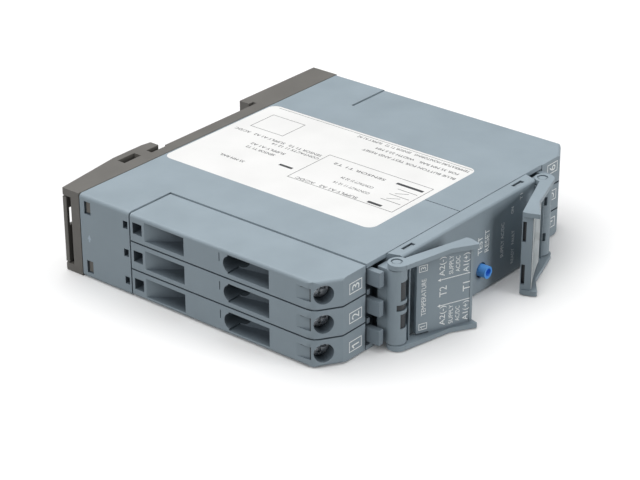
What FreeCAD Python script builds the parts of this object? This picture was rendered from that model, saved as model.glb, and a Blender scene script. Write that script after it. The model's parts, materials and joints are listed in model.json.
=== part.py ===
import FreeCAD, Part
import os
import re
import Sketcher

# Temperature monitoring relay for a 35 mm rail, lying on its broad side.
# X runs along the height (upper end at -X), Y along the depth (front at -Y), Z across the width.
# The origin is the middle of the broad side that it lies on.

# Every size that can be set by itself, in millimetres or degrees: name, value, meaning.
SIZES = [
    ("width", 22.5, "across the rail, broad side to broad side"),
    ("height", 100, "end face to end face"),
    ("depth", 90, "back of the foot to the front face"),
    ("base_depth", 8.6, "foot behind the housing"),
    ("cap_depth", 3.8, "front cap ahead of the housing"),
    ("wall", 1.6, "housing wall"),
    ("edge_round", 1.0, "rounding of the housing's end edges"),
    ("block_wide", 14.7, "terminal corner along the height"),
    ("shoulder", 16.6, "full-height part of the housing behind the blocks"),
    ("block_gap", 0.4, "joint between block and housing"),
    ("block_inset", 0.25, "block's broad sides below the housing's"),
    ("block_round", 0.8, "rounding of a block's outer edges"),
    ("chamfer_wide", 6.2, "slanted screw face along the height"),
    ("chamfer_deep", 3.9, "slanted screw face along the depth"),
    ("pole_pitch", 7.5, "pole to pole"),
    ("groove_wide", 0.4, "groove between poles"),
    ("groove_deep", 0.8, "depth of that groove"),
    ("cap_half", 28.1, "half length of the front cap at its rim"),
    ("cap_taper", 1.2, "draw-in of each cap end towards the front"),
    ("cap_wall", 1.5, "front cap wall"),
    ("cap_round", 0.7, "rounding along the cap's long edges"),
    ("opening_play", 0.2, "cap's inside to the housing's opening"),
    ("seam_wide", 0.25, "seams of the cap, of the foot and of the housing"),
    ("seam_deep", 0.4, "depth of those seams"),
    ("seam_along", 0.5, "housing's seam from the middle, along the height"),
    ("snap_at", 22.2, "cap snap from the middle"),
    ("snap_window", 4.05, "length of a cap snap window"),
    ("snap_window_deep", 1.3, "depth of a cap snap window"),
    ("snap_window_from", 1.2, "cap rim to snap window"),
    ("snap_tongue", 1.2, "thickness of a snap tongue"),
    ("snap_play", 0.3, "play of a snap in its window"),
    ("snap_below", 0.4, "snap barb below the surface"),
    ("recess_deep", 5.0, "release recess behind the housing's front edge"),
    ("recess_skin", 1.15, "housing beside the release recess"),
    ("comb_wide", 6.0, "release comb along the height"),
    ("comb_spine", 1.6, "spine that joins the release tabs"),
    ("tab_thick", 1.6, "release tab along the height"),
    ("tab_tall", 3.9, "release tab across the width"),
    ("tab_shift", 0.35, "release tab off the middle of its pole"),
    ("tab_proud", 3.5, "release tab ahead of the cap line"),
    ("cleat_thick", 1.0, "cleat between release tabs, along the height"),
    ("cleat_tall", 1.4, "cleat across the width"),
    ("comb_play", 0.3, "play round a release comb"),
    ("hinge_out", 29.6, "flap hinge from the middle"),
    ("hinge_ahead", 0.4, "flap hinge ahead of the front face"),
    ("barrel_radius", 2.5, "hinge column"),
    ("web_past", 2.2, "web of the hinge column past the hinge"),
    ("web_ahead", 0.45, "web ahead of the cap line"),
    ("column_slot_in", 2.6, "slots of the hinge column, inside the hinge"),
    ("column_slot_out", 1.15, "upper and lower slot past the hinge"),
    ("column_slot_far", 1.9, "middle slot past the hinge"),
    ("column_slot_deep", 2.2, "depth of those slots"),
    ("top_slot_low", 13.0, "lower end of the upper slot"),
    ("top_slot_high", 17.9, "upper end of the upper slot"),
    ("middle_slot_low", 10.5, "lower end of the middle slot"),
    ("middle_slot_high", 12.1, "upper end of the middle slot"),
    ("bottom_slot_low", 5.8, "lower end of the lower slot"),
    ("bottom_slot_high", 9.6, "upper end of the lower slot"),
    ("trunnion_radius", 1.0, "hinge trunnion"),
    ("hinge_play", 0.06, "radial play of a flap on its trunnions"),
    ("trunnion_below", 0.15, "trunnion end below the flap's side"),
    ("sink_radius", 1.4, "sinking round a trunnion's end"),
    ("sink_deep", 0.3, "depth of that sinking"),
    ("flap_inset", 0.2, "flap's sides below the housing's"),
    ("cheek", 1.2, "flap cheek"),
    ("cheek_gap", 0.3, "flap cheek to hinge column"),
    ("flap_gap", 0.2, "closed flap to the front face"),
    ("flap_reach", 20.8, "hinge to the flap's free end"),
    ("plate_start", 5.5, "hinge to the flap's plate"),
    ("plate_thick", 0.8, "flap plate and end wall"),
    ("plate_rise", 2.4, "plate's outside at the free end, ahead of the hinge plane"),
    ("fin_rise", 4.3, "tip of a cheek's fin ahead of the hinge plane"),
    ("fin_inner", 0.9, "inner corner of that tip ahead of the hinge plane"),
    ("fin_out", 0.4, "tip of a cheek's fin past the free end"),
    ("waist_at", 14.3, "hinge to a cheek's waist"),
    ("waist_rise", 2.35, "a cheek's waist ahead of the hinge plane"),
    ("boss_radius", 2.5, "round end of a cheek"),
    ("boss_shift", 0.5, "round end ahead of the hinge"),
    ("boss_out", 0.1, "round end towards the flap's free end"),
    ("boss_corner", 0.6, "hinge to the corner where a cheek leaves its round end"),
    ("fin_round", 0.4, "rounding of a fin's tip"),
    ("flap_slot_from", 2.8, "flap's side to an end wall slot"),
    ("flap_slot_long", 5.4, "length of an end wall slot"),
    ("slit_wide", 0.35, "slit between plate and cheek"),
    ("slit_long", 3.4, "length of that slit"),
    ("upper_flap_angle", 15, "upper flap ajar"),
    ("lower_flap_angle", 21.5, "lower flap ajar"),
    ("button_along", 4.85, "button from the middle, along the height"),
    ("button_across", 6.2, "button from the lower broad side"),
    ("button_radius", 1.6, "push button"),
    ("button_bore", 1.05, "hollow of the push button"),
    ("button_bore_deep", 2.0, "depth of that hollow"),
    ("button_hole", 2.0, "button hole in the cap"),
    ("button_proud", 2.15, "button ahead of the front face"),
    ("button_flange", 2.6, "collar that keeps the button in"),
    ("button_flange_thick", 1.0, "thickness of that collar"),
    ("button_play", 0.3, "collar to the cap's inside"),
    ("button_stem", 1.2, "stem behind the collar"),
    ("button_stem_long", 0.5, "length of that stem"),
    ("plunger_radius", 1.4, "plunger of the test switch"),
    ("plunger_long", 1.5, "length of the plunger"),
    ("plunger_play", 0.15, "play round the plunger"),
    ("switch_side", 5.5, "test switch, square"),
    ("switch_thick", 2.6, "test switch on its board"),
    ("switch_floor", 0.4, "test switch behind its plunger"),
    ("guide_along", 23.5, "light guides from the middle"),
    ("guide_radius", 0.9, "light guide"),
    ("guide_spacing", 8.0, "light guide to light guide"),
    ("lamp_side", 2.0, "lamp, square"),
    ("lamp_thick", 1.4, "lamp on its board"),
    ("label_long", 43.3, "side label along the height"),
    ("label_shift", 1.0, "side label off the middle"),
    ("label_front", 10.4, "side label to the cap line"),
    ("label_back", 0.3, "side label to the housing's back edge"),
    ("label_corner", 2.5, "side label corners"),
    ("label_thick", 0.12, "side label, flush in its recess"),
    ("strip", 4.0, "foot plate between the rail hooks"),
    ("near_drop", 2.7, "slope of the foot at its latch end"),
    ("ramp_long", 20.7, "length of that slope"),
    ("cheek_lip", 16.3, "latch-side lips from the middle"),
    ("lip_slant", 2.9, "bevel of the latch-side lips"),
    ("lip_edge", 0.5, "upright edge of the latch-side lips"),
    ("undercut_long", 3.2, "relief under the latch-side lips, along the height"),
    ("undercut_in", 0.6, "that relief into the foot plate"),
    ("foot_cheek", 2.0, "cheeks beside the latch"),
    ("latch_wall", 3.2, "wall between latch and housing"),
    ("rail_width", 35, "rail"),
    ("rail_lip", 1.0, "thickness of the rail's edge"),
    ("rail_play", 0.3, "play of the rail in the foot"),
    ("hook_at", 18.8, "fixed hook from the middle"),
    ("hook_overlap", 1.5, "fixed hook over the rail's edge"),
    ("latch_overlap", 1.4, "latch over the rail's edge"),
    ("latch_travel", 3.0, "pull of the latch"),
    ("latch_plate", 1.3, "latch plate"),
    ("latch_gap", 1.5, "latch plate to its wall"),
    ("latch_side_play", 0.3, "latch to the cheeks"),
    ("latch_end_play", 0.4, "latch to the foot, along its travel"),
    ("nose_wide", 12.5, "latch nose across the width"),
    ("nose_high", 1.9, "latch nose behind its plate"),
    ("nose_bevel", 3.2, "lead-in of the latch nose"),
    ("nose_edge", 0.8, "upright edge of the latch nose"),
    ("nose_heel", 6.0, "heel of the latch nose from the plate's end"),
    ("nose_top", 2.0, "top of the latch nose from the plate's end"),
    ("pull_bar", 0.9, "bar at the latch's end"),
    ("pull_slot", 3.6, "screwdriver slot behind the bar"),
    ("pull_slot_wide", 4.8, "width of that slot"),
    ("pull_slot_shift", 3.35, "that slot off the middle of the width"),
    ("stop_window_at", 26.9, "latch stop window in a cheek, from the middle"),
    ("stop_window_tall", 2.5, "height of the stop window"),
    ("stop_boss", 2.4, "latch boss in the stop window"),
    ("stop_below", 1.5, "latch boss below the cheek's face"),
    ("spring_at", 41.0, "spring post from the middle"),
    ("post_thick", 1.5, "spring post"),
    ("post_wide", 2.6, "spring post across the width"),
    ("post_proud", 0.6, "spring post behind the latch plate"),
    ("spring_gap", 0.1, "latch spring to its stops"),
    ("spring_radius", 1.05, "latch spring, to the wire's middle"),
    ("spring_wire", 0.2, "radius of the spring wire"),
    ("spring_length", 9.0, "latch spring at rest"),
    ("spring_turns", 5, "turns of the latch spring"),
    ("window_tall", 3.4, "foot snap window across the width"),
    ("window_deep", 2.1, "foot snap window along the depth"),
    ("window_back", 1.5, "foot snap window to the housing's back"),
    ("window_side", 1.6, "foot snap window's middle to the wall's inside"),
    ("arm_play", 0.1, "foot snap arm to the wall's inside"),
    ("notch_tall", 2.0, "block latch notch across the width"),
    ("notch_deep", 1.5, "block latch notch along the depth"),
    ("notch_from", 0.5, "shoulder to the block latch notch"),
    ("square_side", 3.0, "test probe hole of a pole"),
    ("square_from", 0.8, "block's back to the probe hole"),
    ("square_deep", 3.5, "depth of the probe hole"),
    ("pocket_from", 4.6, "block's back to the rear pocket"),
    ("pocket_long", 12.8, "rear pocket along the depth"),
    ("pocket_tall", 4.9, "rear pocket and wire funnel across the width"),
    ("pocket_deep", 9.0, "depth of the rear pocket"),
    ("pocket_slope", 11.0, "slope of the rear pocket's end"),
    ("funnel_from", 12.9, "screw face to the wire funnel"),
    ("funnel_long", 12.6, "wire funnel along the depth"),
    ("funnel_step", 4.0, "upright end of the wire funnel"),
    ("funnel_round", 2.2, "round bore at the wire funnel's end"),
    ("funnel_round_in", 0.8, "middle of that bore inside the funnel's end"),
    ("funnel_round_deep", 8.0, "depth of that bore"),
    ("mark_from", 2.6, "wire funnel to the pole mark"),
    ("mark_wide", 0.25, "pole mark along the depth"),
    ("mark_tall", 2.2, "pole mark across the width"),
    ("mark_deep", 0.3, "depth of the pole mark"),
    ("patch_from", 0.7, "slanted face to the patch beside a screw"),
    ("patch_to", 4.8, "slanted face to the patch's far edge"),
    ("patch_tall", 3.3, "patch across the width"),
    ("patch_deep", 0.8, "deep end of the patch, beside the screw"),
    ("screw_inset", 2.75, "screw from the end face, along the slant"),
    ("screw_bore", 2.4, "screw hole"),
    ("head_radius", 2.15, "screw head"),
    ("head_below", 3.4, "screw head below the slant"),
    ("head_thick", 1.3, "screw head"),
    ("seat_thick", 0.6, "wall under the screw head"),
    ("shank_radius", 1.5, "screw shank"),
    ("shank_play", 0.08, "play round the screw shank in the cage"),
    ("seat_play", 0.15, "play round the screw shank under its head"),
    ("tip_bevel", 0.4, "bevel of the screw tip"),
    ("slot_wide", 0.6, "cross slot of the screw"),
    ("slot_long", 3.2, "cross slot of the screw"),
    ("slot_deep", 0.8, "cross slot of the screw"),
    ("clamp_travel", 1.6, "lift of a clamp cage"),
    ("cage_half", 2.3, "half of a clamp cage along the wire"),
    ("cage_tall", 5.4, "clamp cage across the width"),
    ("cage_wall", 0.9, "clamp cage wall"),
    ("cage_nut", 1.4, "threaded wall of a clamp cage"),
    ("cage_window", 4.0, "window of a clamp cage"),
    ("cage_play", 0.25, "play round a clamp cage"),
    ("bar_thick", 1.0, "contact bar"),
    ("bar_below", 0.8, "screw side of the cage window to the contact bar"),
    ("bar_side_play", 0.2, "contact bar to the cage's walls"),
    ("bar_past", 3.6, "contact bar past the clamp chamber, into its tail"),
    ("tip_gap", 0.2, "screw tip to the contact bar"),
    ("tail_thick", 0.8, "contact tail"),
    ("tail_wide", 3.0, "contact tail across the width"),
    ("tail_from", 2.4, "slanted face to the contact tail"),
    ("plug_in", 2.0, "plug pins from the waist of the housing"),
    ("pin_side", 0.8, "plug pin, square"),
    ("pin_play", 0.15, "play of a plug pin in its sleeve"),
    ("pin_reach", 8.8, "plug pin ahead of the shoulder"),
    ("pin_tail", 1.5, "plug pin behind its header"),
    ("sleeve_side", 2.0, "contact sleeve"),
    ("sleeve_long", 9.0, "contact sleeve along the depth"),
    ("sleeve_play", 0.25, "channel round a contact"),
    ("sleeve_from", 1.0, "block's back to the contact sleeve"),
    ("sleeve_end", 1.0, "closed end of a contact sleeve"),
    ("header_wide", 4.0, "plug header along the height"),
    ("header_deep", 2.5, "plug header along the depth"),
    ("board_thick", 1.6, "circuit boards"),
    ("board_level", 4.4, "main board above the lower broad side"),
    ("board_play", 0.3, "boards to what holds them"),
    ("front_board_back", 4.4, "front board's back behind the cap rim"),
    ("front_board_half", 24.5, "half length of the front board"),
    ("relay_along", 18, "output relay from the middle"),
    ("relay_share", 0.374, "output relay along the main board, as a share of it"),
    ("relay_long", 20, "output relay along the height"),
    ("relay_wide", 10.2, "output relay along the depth"),
    ("relay_tall", 13.8, "output relay above the board"),
    ("core_along", -16, "transformer from the middle"),
    ("core_share", 0.629, "transformer along the main board, as a share of it"),
    ("core_long", 16, "transformer core along the height"),
    ("core_wide", 13, "transformer core along the depth"),
    ("core_tall", 13, "transformer core above the board"),
    ("core_leg", 3.2, "limbs of the core"),
    ("winding_proud", 2.0, "winding past the core"),
    ("bulk_along", 4, "bulk capacitor from the middle"),
    ("bulk_share", 0.686, "bulk capacitor along the main board, as a share of it"),
    ("bulk_radius", 5.0, "bulk capacitor"),
    ("bulk_long", 18, "bulk capacitor"),
    ("film_along", -20, "filter capacitor from the middle"),
    ("film_share", 0.317, "filter capacitor along the main board, as a share of it"),
    ("film_long", 13, "filter capacitor"),
    ("film_wide", 5, "filter capacitor"),
    ("film_tall", 11, "filter capacitor"),
    ("varistor_along", 6, "varistor from the middle"),
    ("varistor_share", 0.899, "varistor along the main board, as a share of it"),
    ("varistor_radius", 5.5, "varistor"),
    ("varistor_long", 4.2, "varistor"),
    ("chip_along", -4, "control chip from the middle"),
    ("chip_share", 0.175, "control chip along the main board, as a share of it"),
    ("chip_long", 8.6, "control chip"),
    ("chip_wide", 6.2, "control chip"),
    ("chip_tall", 1.5, "control chip"),
    ("part_round", 0.8, "rounding of moulded components"),
    ("overcut", 1.0, "how far a cut runs past a face"),
    ("overlap", 0.1, "how far merged solids run into each other"),
]

# Places that follow from the sizes.
HALF = "(height / 2)"
FRONT = "(-depth / 2)"
BACK = "(depth / 2)"
HOUSING_BACK = "(depth / 2 - base_depth)"
CAP_LINE = "(cap_depth - depth / 2)"
WAIST = "(height / 2 - block_wide)"
SHOULDER = "(depth / 2 - base_depth - shoulder)"
CAP_OPENING = "(cap_half - cap_wall - opening_play)"
RECESS_FLOOR = "(cap_depth - depth / 2 + recess_deep)"
HINGE_Y = "(-depth / 2 - hinge_ahead)"
BARREL_LOW = "(flap_inset + cheek + cheek_gap)"
BARREL_HIGH = "(width - flap_inset - cheek - cheek_gap)"
FLAP_INNER = "(flap_gap - hinge_ahead)"
CHEEKS = (("flap_inset", "flap_inset + cheek"), ("width - flap_inset - cheek", "width - flap_inset"))
STRIP_Y = "(depth / 2 - base_depth + strip)"
RAIL_BACK = "(depth / 2 - base_depth + strip + rail_lip + rail_play)"
BAY_END = "(-cheek_lip - rail_lip - rail_play)"
FOOT_SNAPS = ("wall + window_side", "width - wall - window_side")
LATCH_Y = "(depth / 2 - base_depth + latch_wall + latch_gap)"
LATCH_BACK = "(depth / 2 - base_depth + latch_wall + latch_gap + latch_plate)"
STOP_WINDOW = "(stop_boss + latch_travel + 2 * snap_play)"
RAIL_FAR = "(hook_at + hook_overlap)"
RAIL_NEAR = "(hook_at + hook_overlap - rail_width)"
MOUTH = "(-height / 2)"
SLANT_BACK = f"({CAP_LINE} + chamfer_deep)"
BLOCK_BACK = f"({SHOULDER} - block_gap)"
SLANT = "atan(chamfer_deep / chamfer_wide)"
SLANT_LENGTH = "sqrt(chamfer_deep ^ 2 + chamfer_wide ^ 2)"
SCREW_X = f"(-height / 2 + screw_inset * chamfer_wide / {SLANT_LENGTH})"
SCREW_Y = f"({CAP_LINE} + chamfer_deep - screw_inset * chamfer_deep / {SLANT_LENGTH})"
SEAT = "(head_below + head_thick)"
CAGE_FRONT = "(head_below + head_thick + seat_thick + clamp_travel + cage_play)"
CAGE_WINDOW = f"({CAGE_FRONT} + cage_nut)"
CAGE_END = f"({CAGE_WINDOW} + cage_window + cage_wall)"
BAR_FRONT = f"({CAGE_WINDOW} + bar_below)"
BAR_END = "(cage_half + cage_play + bar_past)"
TAIL_FRONT = f"({SLANT_BACK} + tail_from)"
PLUG_X = "(-height / 2 + block_wide - plug_in)"
PIN_HOLE = "(pin_side + 2 * pin_play)"
HEADER_Y = f"({SHOULDER} + wall)"
PIN_END = f"({HEADER_Y} + header_deep + pin_tail)"
BOARD_FRONT = f"({RECESS_FLOOR} + wall + board_play)"
BOARD_BACK = f"({HOUSING_BACK} - board_play)"
BOARD_TOP = "(board_level + board_thick)"
FRONT_BOARD_BACK = f"({CAP_LINE} + front_board_back)"
FRONT_BOARD_FACE = f"({FRONT_BOARD_BACK} - board_thick)"
POLES = (1, 2, 3)
POLE_BOUNDS = ("width / 2 - pole_pitch / 2", "width / 2 + pole_pitch / 2")

doc = FreeCAD.newDocument("monitoring_relay")
sheet = doc.addObject("Spreadsheet::Sheet", "Sizes")
for row, (name, value, meaning) in enumerate(SIZES, 1):
    sheet.set(f"A{row}", meaning)
    sheet.set(f"B{row}", str(value))
    sheet.setAlias(f"B{row}", name)
doc.recompute()

SIZE_NAMES = {name for name, value, meaning in SIZES}
Z_AXIS = FreeCAD.Vector(0, 0, 1)
AXIS_TURN = {
    "x": FreeCAD.Rotation(FreeCAD.Vector(0, 1, 0), 90),
    "y": FreeCAD.Rotation(FreeCAD.Vector(1, 0, 0), -90),
    "z": FreeCAD.Rotation(),
}
nodes = []


def bound(text):
    """Expression text whose size names point at their cells."""
    def cell(word):
        return "Sizes." + word[0] if word[0] in SIZE_NAMES else word[0]
    return re.sub(r"[a-z_]+", cell, str(text))


def number(text):
    """Value of an expression as a plain number."""
    return float(sheet.evalExpression(bound(text)))


def node(label, piece):
    """Names a finished sub-part."""
    piece.Label = label
    nodes.append(piece)
    return piece


def pole_z(pole):
    """Middle of a pole across the width."""
    return f"(width / 2 + {pole - 2} * pole_pitch)"


def sketch(body, role, offset):
    """Sketch on one of the body's own origin planes."""
    drawing = body.newObject("Sketcher::SketchObject", body.Name + "_sketch")
    plane = next(item for item in body.Origin.OriginFeatures if item.Role == role)
    drawing.AttachmentSupport = [(plane, "")]
    drawing.MapMode = "FlatFace"
    drawing.setExpression("AttachmentOffset.Base.z", bound(offset))
    return drawing


def pin_point(drawing, geometry, which, place):
    """Ties a point of a sketch to the origin by two bound distances."""
    for kind, text in zip(("DistanceX", "DistanceY"), place):
        row = drawing.addConstraint(Sketcher.Constraint(kind, -1, 1, geometry, which, number(text)))
        drawing.setExpression(f"Constraints[{row}]", bound(text))


def draw_outline(drawing, points):
    """Closed outline of straight lines through bound points."""
    corners = [FreeCAD.Vector(number(x), number(y), 0) for x, y in points]
    first = drawing.GeometryCount
    count = len(points)
    for index in range(count):
        drawing.addGeometry(Part.LineSegment(corners[index], corners[(index + 1) % count]))
    for index in range(count):
        after = first + (index + 1) % count
        drawing.addConstraint(Sketcher.Constraint("Coincident", first + index, 2, after, 1))
    for index, place in enumerate(points):
        pin_point(drawing, first + index, 1, place)


def draw_circle(drawing, centre, radius):
    """Circle with a bound centre and radius."""
    middle = FreeCAD.Vector(number(centre[0]), number(centre[1]), 0)
    row = drawing.addGeometry(Part.Circle(middle, Z_AXIS, number(radius)))
    pin_point(drawing, row, 3, centre)
    size = drawing.addConstraint(Sketcher.Constraint("Radius", row, number(radius)))
    drawing.setExpression(f"Constraints[{size}]", bound(radius))


def new_body(name):
    return doc.addObject("PartDesign::Body", name)


def feature(body, kind, drawing, length):
    """Pad or pocket of a sketch, with a bound length."""
    step = body.newObject(kind, body.Name + "_step")
    step.Profile = drawing
    step.setExpression("Length", bound(length))
    body.Tip = step
    return step


def pad(body, points, low, high):
    """Adds an outline in X and Y, from one level of Z to another."""
    drawing = sketch(body, "XY_Plane", low)
    draw_outline(drawing, points)
    return feature(body, "PartDesign::Pad", drawing, f"({high}) - ({low})")


def pocket(body, points, low, high):
    """Cuts an outline in X and Y, from one level of Z to another."""
    drawing = sketch(body, "XY_Plane", high)
    draw_outline(drawing, points)
    return feature(body, "PartDesign::Pocket", drawing, f"({high}) - ({low})")


def turned(name, points):
    """Body of revolution about the Y axis, from an outline of radius and Y."""
    body = new_body(name)
    drawing = sketch(body, "XY_Plane", "0")
    draw_outline(drawing, points)
    step = body.newObject("PartDesign::Revolution", name + "_turn")
    step.Profile = drawing
    step.ReferenceAxis = (drawing, ["V_Axis"])
    step.Angle = 360
    body.Tip = step
    return body


def near(value, level):
    return abs(value - level) < 0.001


def round_edges(body, radius, away=None, **where):
    """Rounds each straight edge that keeps to given coordinates, with no end at the X to stay away from."""
    doc.recompute()
    base = body.Tip
    levels = {axis: [number(text) for text in texts] for axis, texts in where.items()}
    chosen = []
    for index, edge in enumerate(base.Shape.Edges, 1):
        ends = [vertex.Point for vertex in edge.Vertexes]
        keeps = all(any(all(near(getattr(end, axis), level) for end in ends) for level in values)
                    for axis, values in levels.items())
        clear = away is None or not any(near(end.x, number(away)) for end in ends)
        if keeps and clear:
            chosen.append(f"Edge{index}")
    step = body.newObject("PartDesign::Fillet", body.Name + "_round")
    step.Base = (base, chosen)
    step.setExpression("Radius", bound(radius))
    body.Tip = step
    return step


def place(piece, x, y, z, turn=None, clockwise=False):
    """Sets a piece at a bound place, turned about Z by a bound angle."""
    axis = FreeCAD.Vector(0, 0, -1) if clockwise else Z_AXIS
    if turn is not None:
        piece.Placement = FreeCAD.Placement(FreeCAD.Vector(), FreeCAD.Rotation(axis, number(turn)))
        piece.setExpression("Placement.Rotation.Angle", bound(turn))
    for letter, text in zip("xyz", (x, y, z)):
        piece.setExpression(f"Placement.Base.{letter}", bound(text))
    return piece


def box(x, y, z):
    """Box between two bound coordinates along each axis."""
    piece = doc.addObject("Part::Box", "block")
    for size, (low, high) in zip(("Length", "Width", "Height"), (x, y, z)):
        piece.setExpression(size, bound(f"({high}) - ({low})"))
    return place(piece, x[0], y[0], z[0])


def rod(radius, axis, start, length):
    """Cylinder along one axis from a bound starting point."""
    piece = doc.addObject("Part::Cylinder", "rod")
    piece.setExpression("Radius", bound(radius))
    piece.setExpression("Height", bound(length))
    piece.Placement = FreeCAD.Placement(FreeCAD.Vector(), AXIS_TURN[axis])
    return place(piece, *start)


def in_order(first, second):
    """Two coordinates, the smaller one first."""
    return sorted((first, second), key=number)


def around(middle, size):
    """Two coordinates that lie half a size either side of a middle."""
    return (f"({middle}) - ({size}) / 2", f"({middle}) + ({size}) / 2")


def merged(pieces):
    union = doc.addObject("Part::MultiFuse", "union")
    union.Shapes = pieces
    union.Refine = True
    return union


def cut(base, tools):
    remains = doc.addObject("Part::Cut", "remains")
    remains.Base = base
    remains.Tool = tools[0] if len(tools) == 1 else merged(tools)
    remains.Refine = True
    return remains


def mirrored(piece):
    """The same piece at the other end of the height."""
    twin = doc.addObject("Part::Mirroring", "twin")
    twin.Source = piece
    twin.Normal = FreeCAD.Vector(1, 0, 0)
    return twin


def both_ends(name, upper_piece):
    """Registers a piece and its mirrored twin at the lower end."""
    node("upper_" + name, upper_piece)
    node("lower_" + name, mirrored(upper_piece))


# Housing: a T-shaped shell, open at the back for the foot and at the front for the cap.
def label_box(low, high):
    """Outline of the side label between two levels, with rounded corners."""
    body = new_body("label_shape")
    left, right = around("label_shift", "label_long")
    near = f"({HOUSING_BACK} - label_back)"
    far = f"({CAP_LINE} + label_front)"
    pad(body, [(left, far), (right, far), (right, near), (left, near)], low, high)
    round_edges(body, "label_corner", x=(left, right), y=(near, far))
    return body


def cap_snap(side, z_inner, z_outer, reach):
    """Tongue with a barb that holds the cap by one of its windows."""
    along = around(f"{side} * snap_at", "snap_window - 2 * snap_play")
    front = f"({CAP_LINE} - snap_window_from - snap_window_deep + snap_play)"
    barb = (front, f"({CAP_LINE} - snap_window_from - snap_play)")
    tongue = box(along, (front, RECESS_FLOOR), in_order(z_inner, z_outer))
    return [tongue, box(along, barb, in_order(z_inner, reach))]


def end_cuts(sign):
    """Windows, notches, pin holes and the release recess at one end of the housing."""
    tools = []
    end = in_order(f"{sign} * ({HALF} - wall - overcut)", f"{sign} * ({HALF} + overcut)")
    window_y = (f"{HOUSING_BACK} - window_back - window_deep", f"{HOUSING_BACK} - window_back")
    for middle in FOOT_SNAPS:
        tools.append(box(end, window_y, around(middle, "window_tall")))
    notch_y = (f"{SHOULDER} + notch_from", f"{SHOULDER} + notch_from + notch_deep")
    plug = around(f"-({sign}) * {PLUG_X}", PIN_HOLE)
    for pole in POLES:
        tools.append(box(end, notch_y, around(pole_z(pole), "notch_tall")))
        tools.append(box(plug, (f"{SHOULDER} - overcut", HEADER_Y), around(pole_z(pole), PIN_HOLE)))
    recess = in_order(f"{sign} * cap_half", f"{sign} * ({WAIST} + overcut)")
    recess_y = (f"{CAP_LINE} - overcut", RECESS_FLOOR)
    tools.append(box(recess, recess_y, ("recess_skin", "width - recess_skin")))
    return tools


def housing():
    shell = new_body("housing_shell")
    right_side = [(WAIST, CAP_LINE), (WAIST, SHOULDER), (HALF, SHOULDER), (HALF, HOUSING_BACK)]
    left_side = [("-" + x, y) for x, y in reversed(right_side)]
    pad(shell, left_side + right_side, "0", "width")
    round_edges(shell, "edge_round", x=("-" + HALF, HALF), z=("0", "width"))
    inner_end = f"({HALF} - wall)"
    inner_waist = f"({WAIST} - wall)"
    inner_shoulder = f"({SHOULDER} + wall)"
    inner_recess = f"({RECESS_FLOOR} + wall)"
    right_half = [(inner_end, HOUSING_BACK), (inner_end, inner_shoulder), (inner_waist, inner_shoulder),
                  (inner_waist, inner_recess), (CAP_OPENING, inner_recess), (CAP_OPENING, CAP_LINE)]
    left_half = [("-" + x, y) for x, y in reversed(right_half)]
    pocket(shell, right_half + left_half, "wall", "width - wall")
    seam = box(around("seam_along", "seam_wide"), (f"{CAP_LINE} - overcut", f"{CAP_LINE} + label_front"),
               ("width - seam_deep", "width + overcut"))
    tools = [label_box("width - label_thick", "width + overcut"), seam]
    snaps = []
    for sign in ("-1", "1"):
        tools += end_cuts(sign)
        snaps += cap_snap(sign, "width - wall - snap_tongue", "width - wall", "width - snap_below")
        snaps += cap_snap(sign, "wall + snap_tongue", "wall", "snap_below")
    node("housing", merged([cut(shell, tools)] + snaps))
    node("side_label", label_box("width - label_thick", "width"))


# Front cap: a shallow tray with a slotted hinge column and trunnions at each end.
def broad_sides(deep):
    """Levels of a cut of some depth into each broad side."""
    return (("-overcut", deep), (f"width - ({deep})", "width + overcut"))


def hinge_column(sign):
    """Column, web and trunnions at one end of the cap."""
    axis = f"{sign} * hinge_out"
    column = rod("barrel_radius", "z", (axis, HINGE_Y, BARREL_LOW), f"{BARREL_HIGH} - {BARREL_LOW}")
    web_x = in_order(f"{sign} * (cap_half - cap_taper - overlap)", f"{sign} * (hinge_out + web_past)")
    web = box(web_x, (HINGE_Y, f"{CAP_LINE} - web_ahead"), (BARREL_LOW, BARREL_HIGH))
    trunnion_low = "(flap_inset + trunnion_below)"
    trunnion = rod("trunnion_radius", "z", (axis, HINGE_Y, trunnion_low), f"width - 2 * {trunnion_low}")
    return [column, web, trunnion]


def column_slots(sign):
    """Slots in the front of one hinge column; the middle one is the widest."""
    front = f"({HINGE_Y} - barrel_radius)"
    slot_y = (f"{front} - overcut", f"{front} + column_slot_deep")
    slots = (("column_slot_out", "top_slot_low", "top_slot_high"),
             ("column_slot_far", "middle_slot_low", "middle_slot_high"),
             ("column_slot_out", "bottom_slot_low", "bottom_slot_high"))
    for reach, low, high in slots:
        slot_x = in_order(f"{sign} * (hinge_out - column_slot_in)", f"{sign} * (hinge_out + {reach})")
        yield box(slot_x, slot_y, (low, high))


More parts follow.
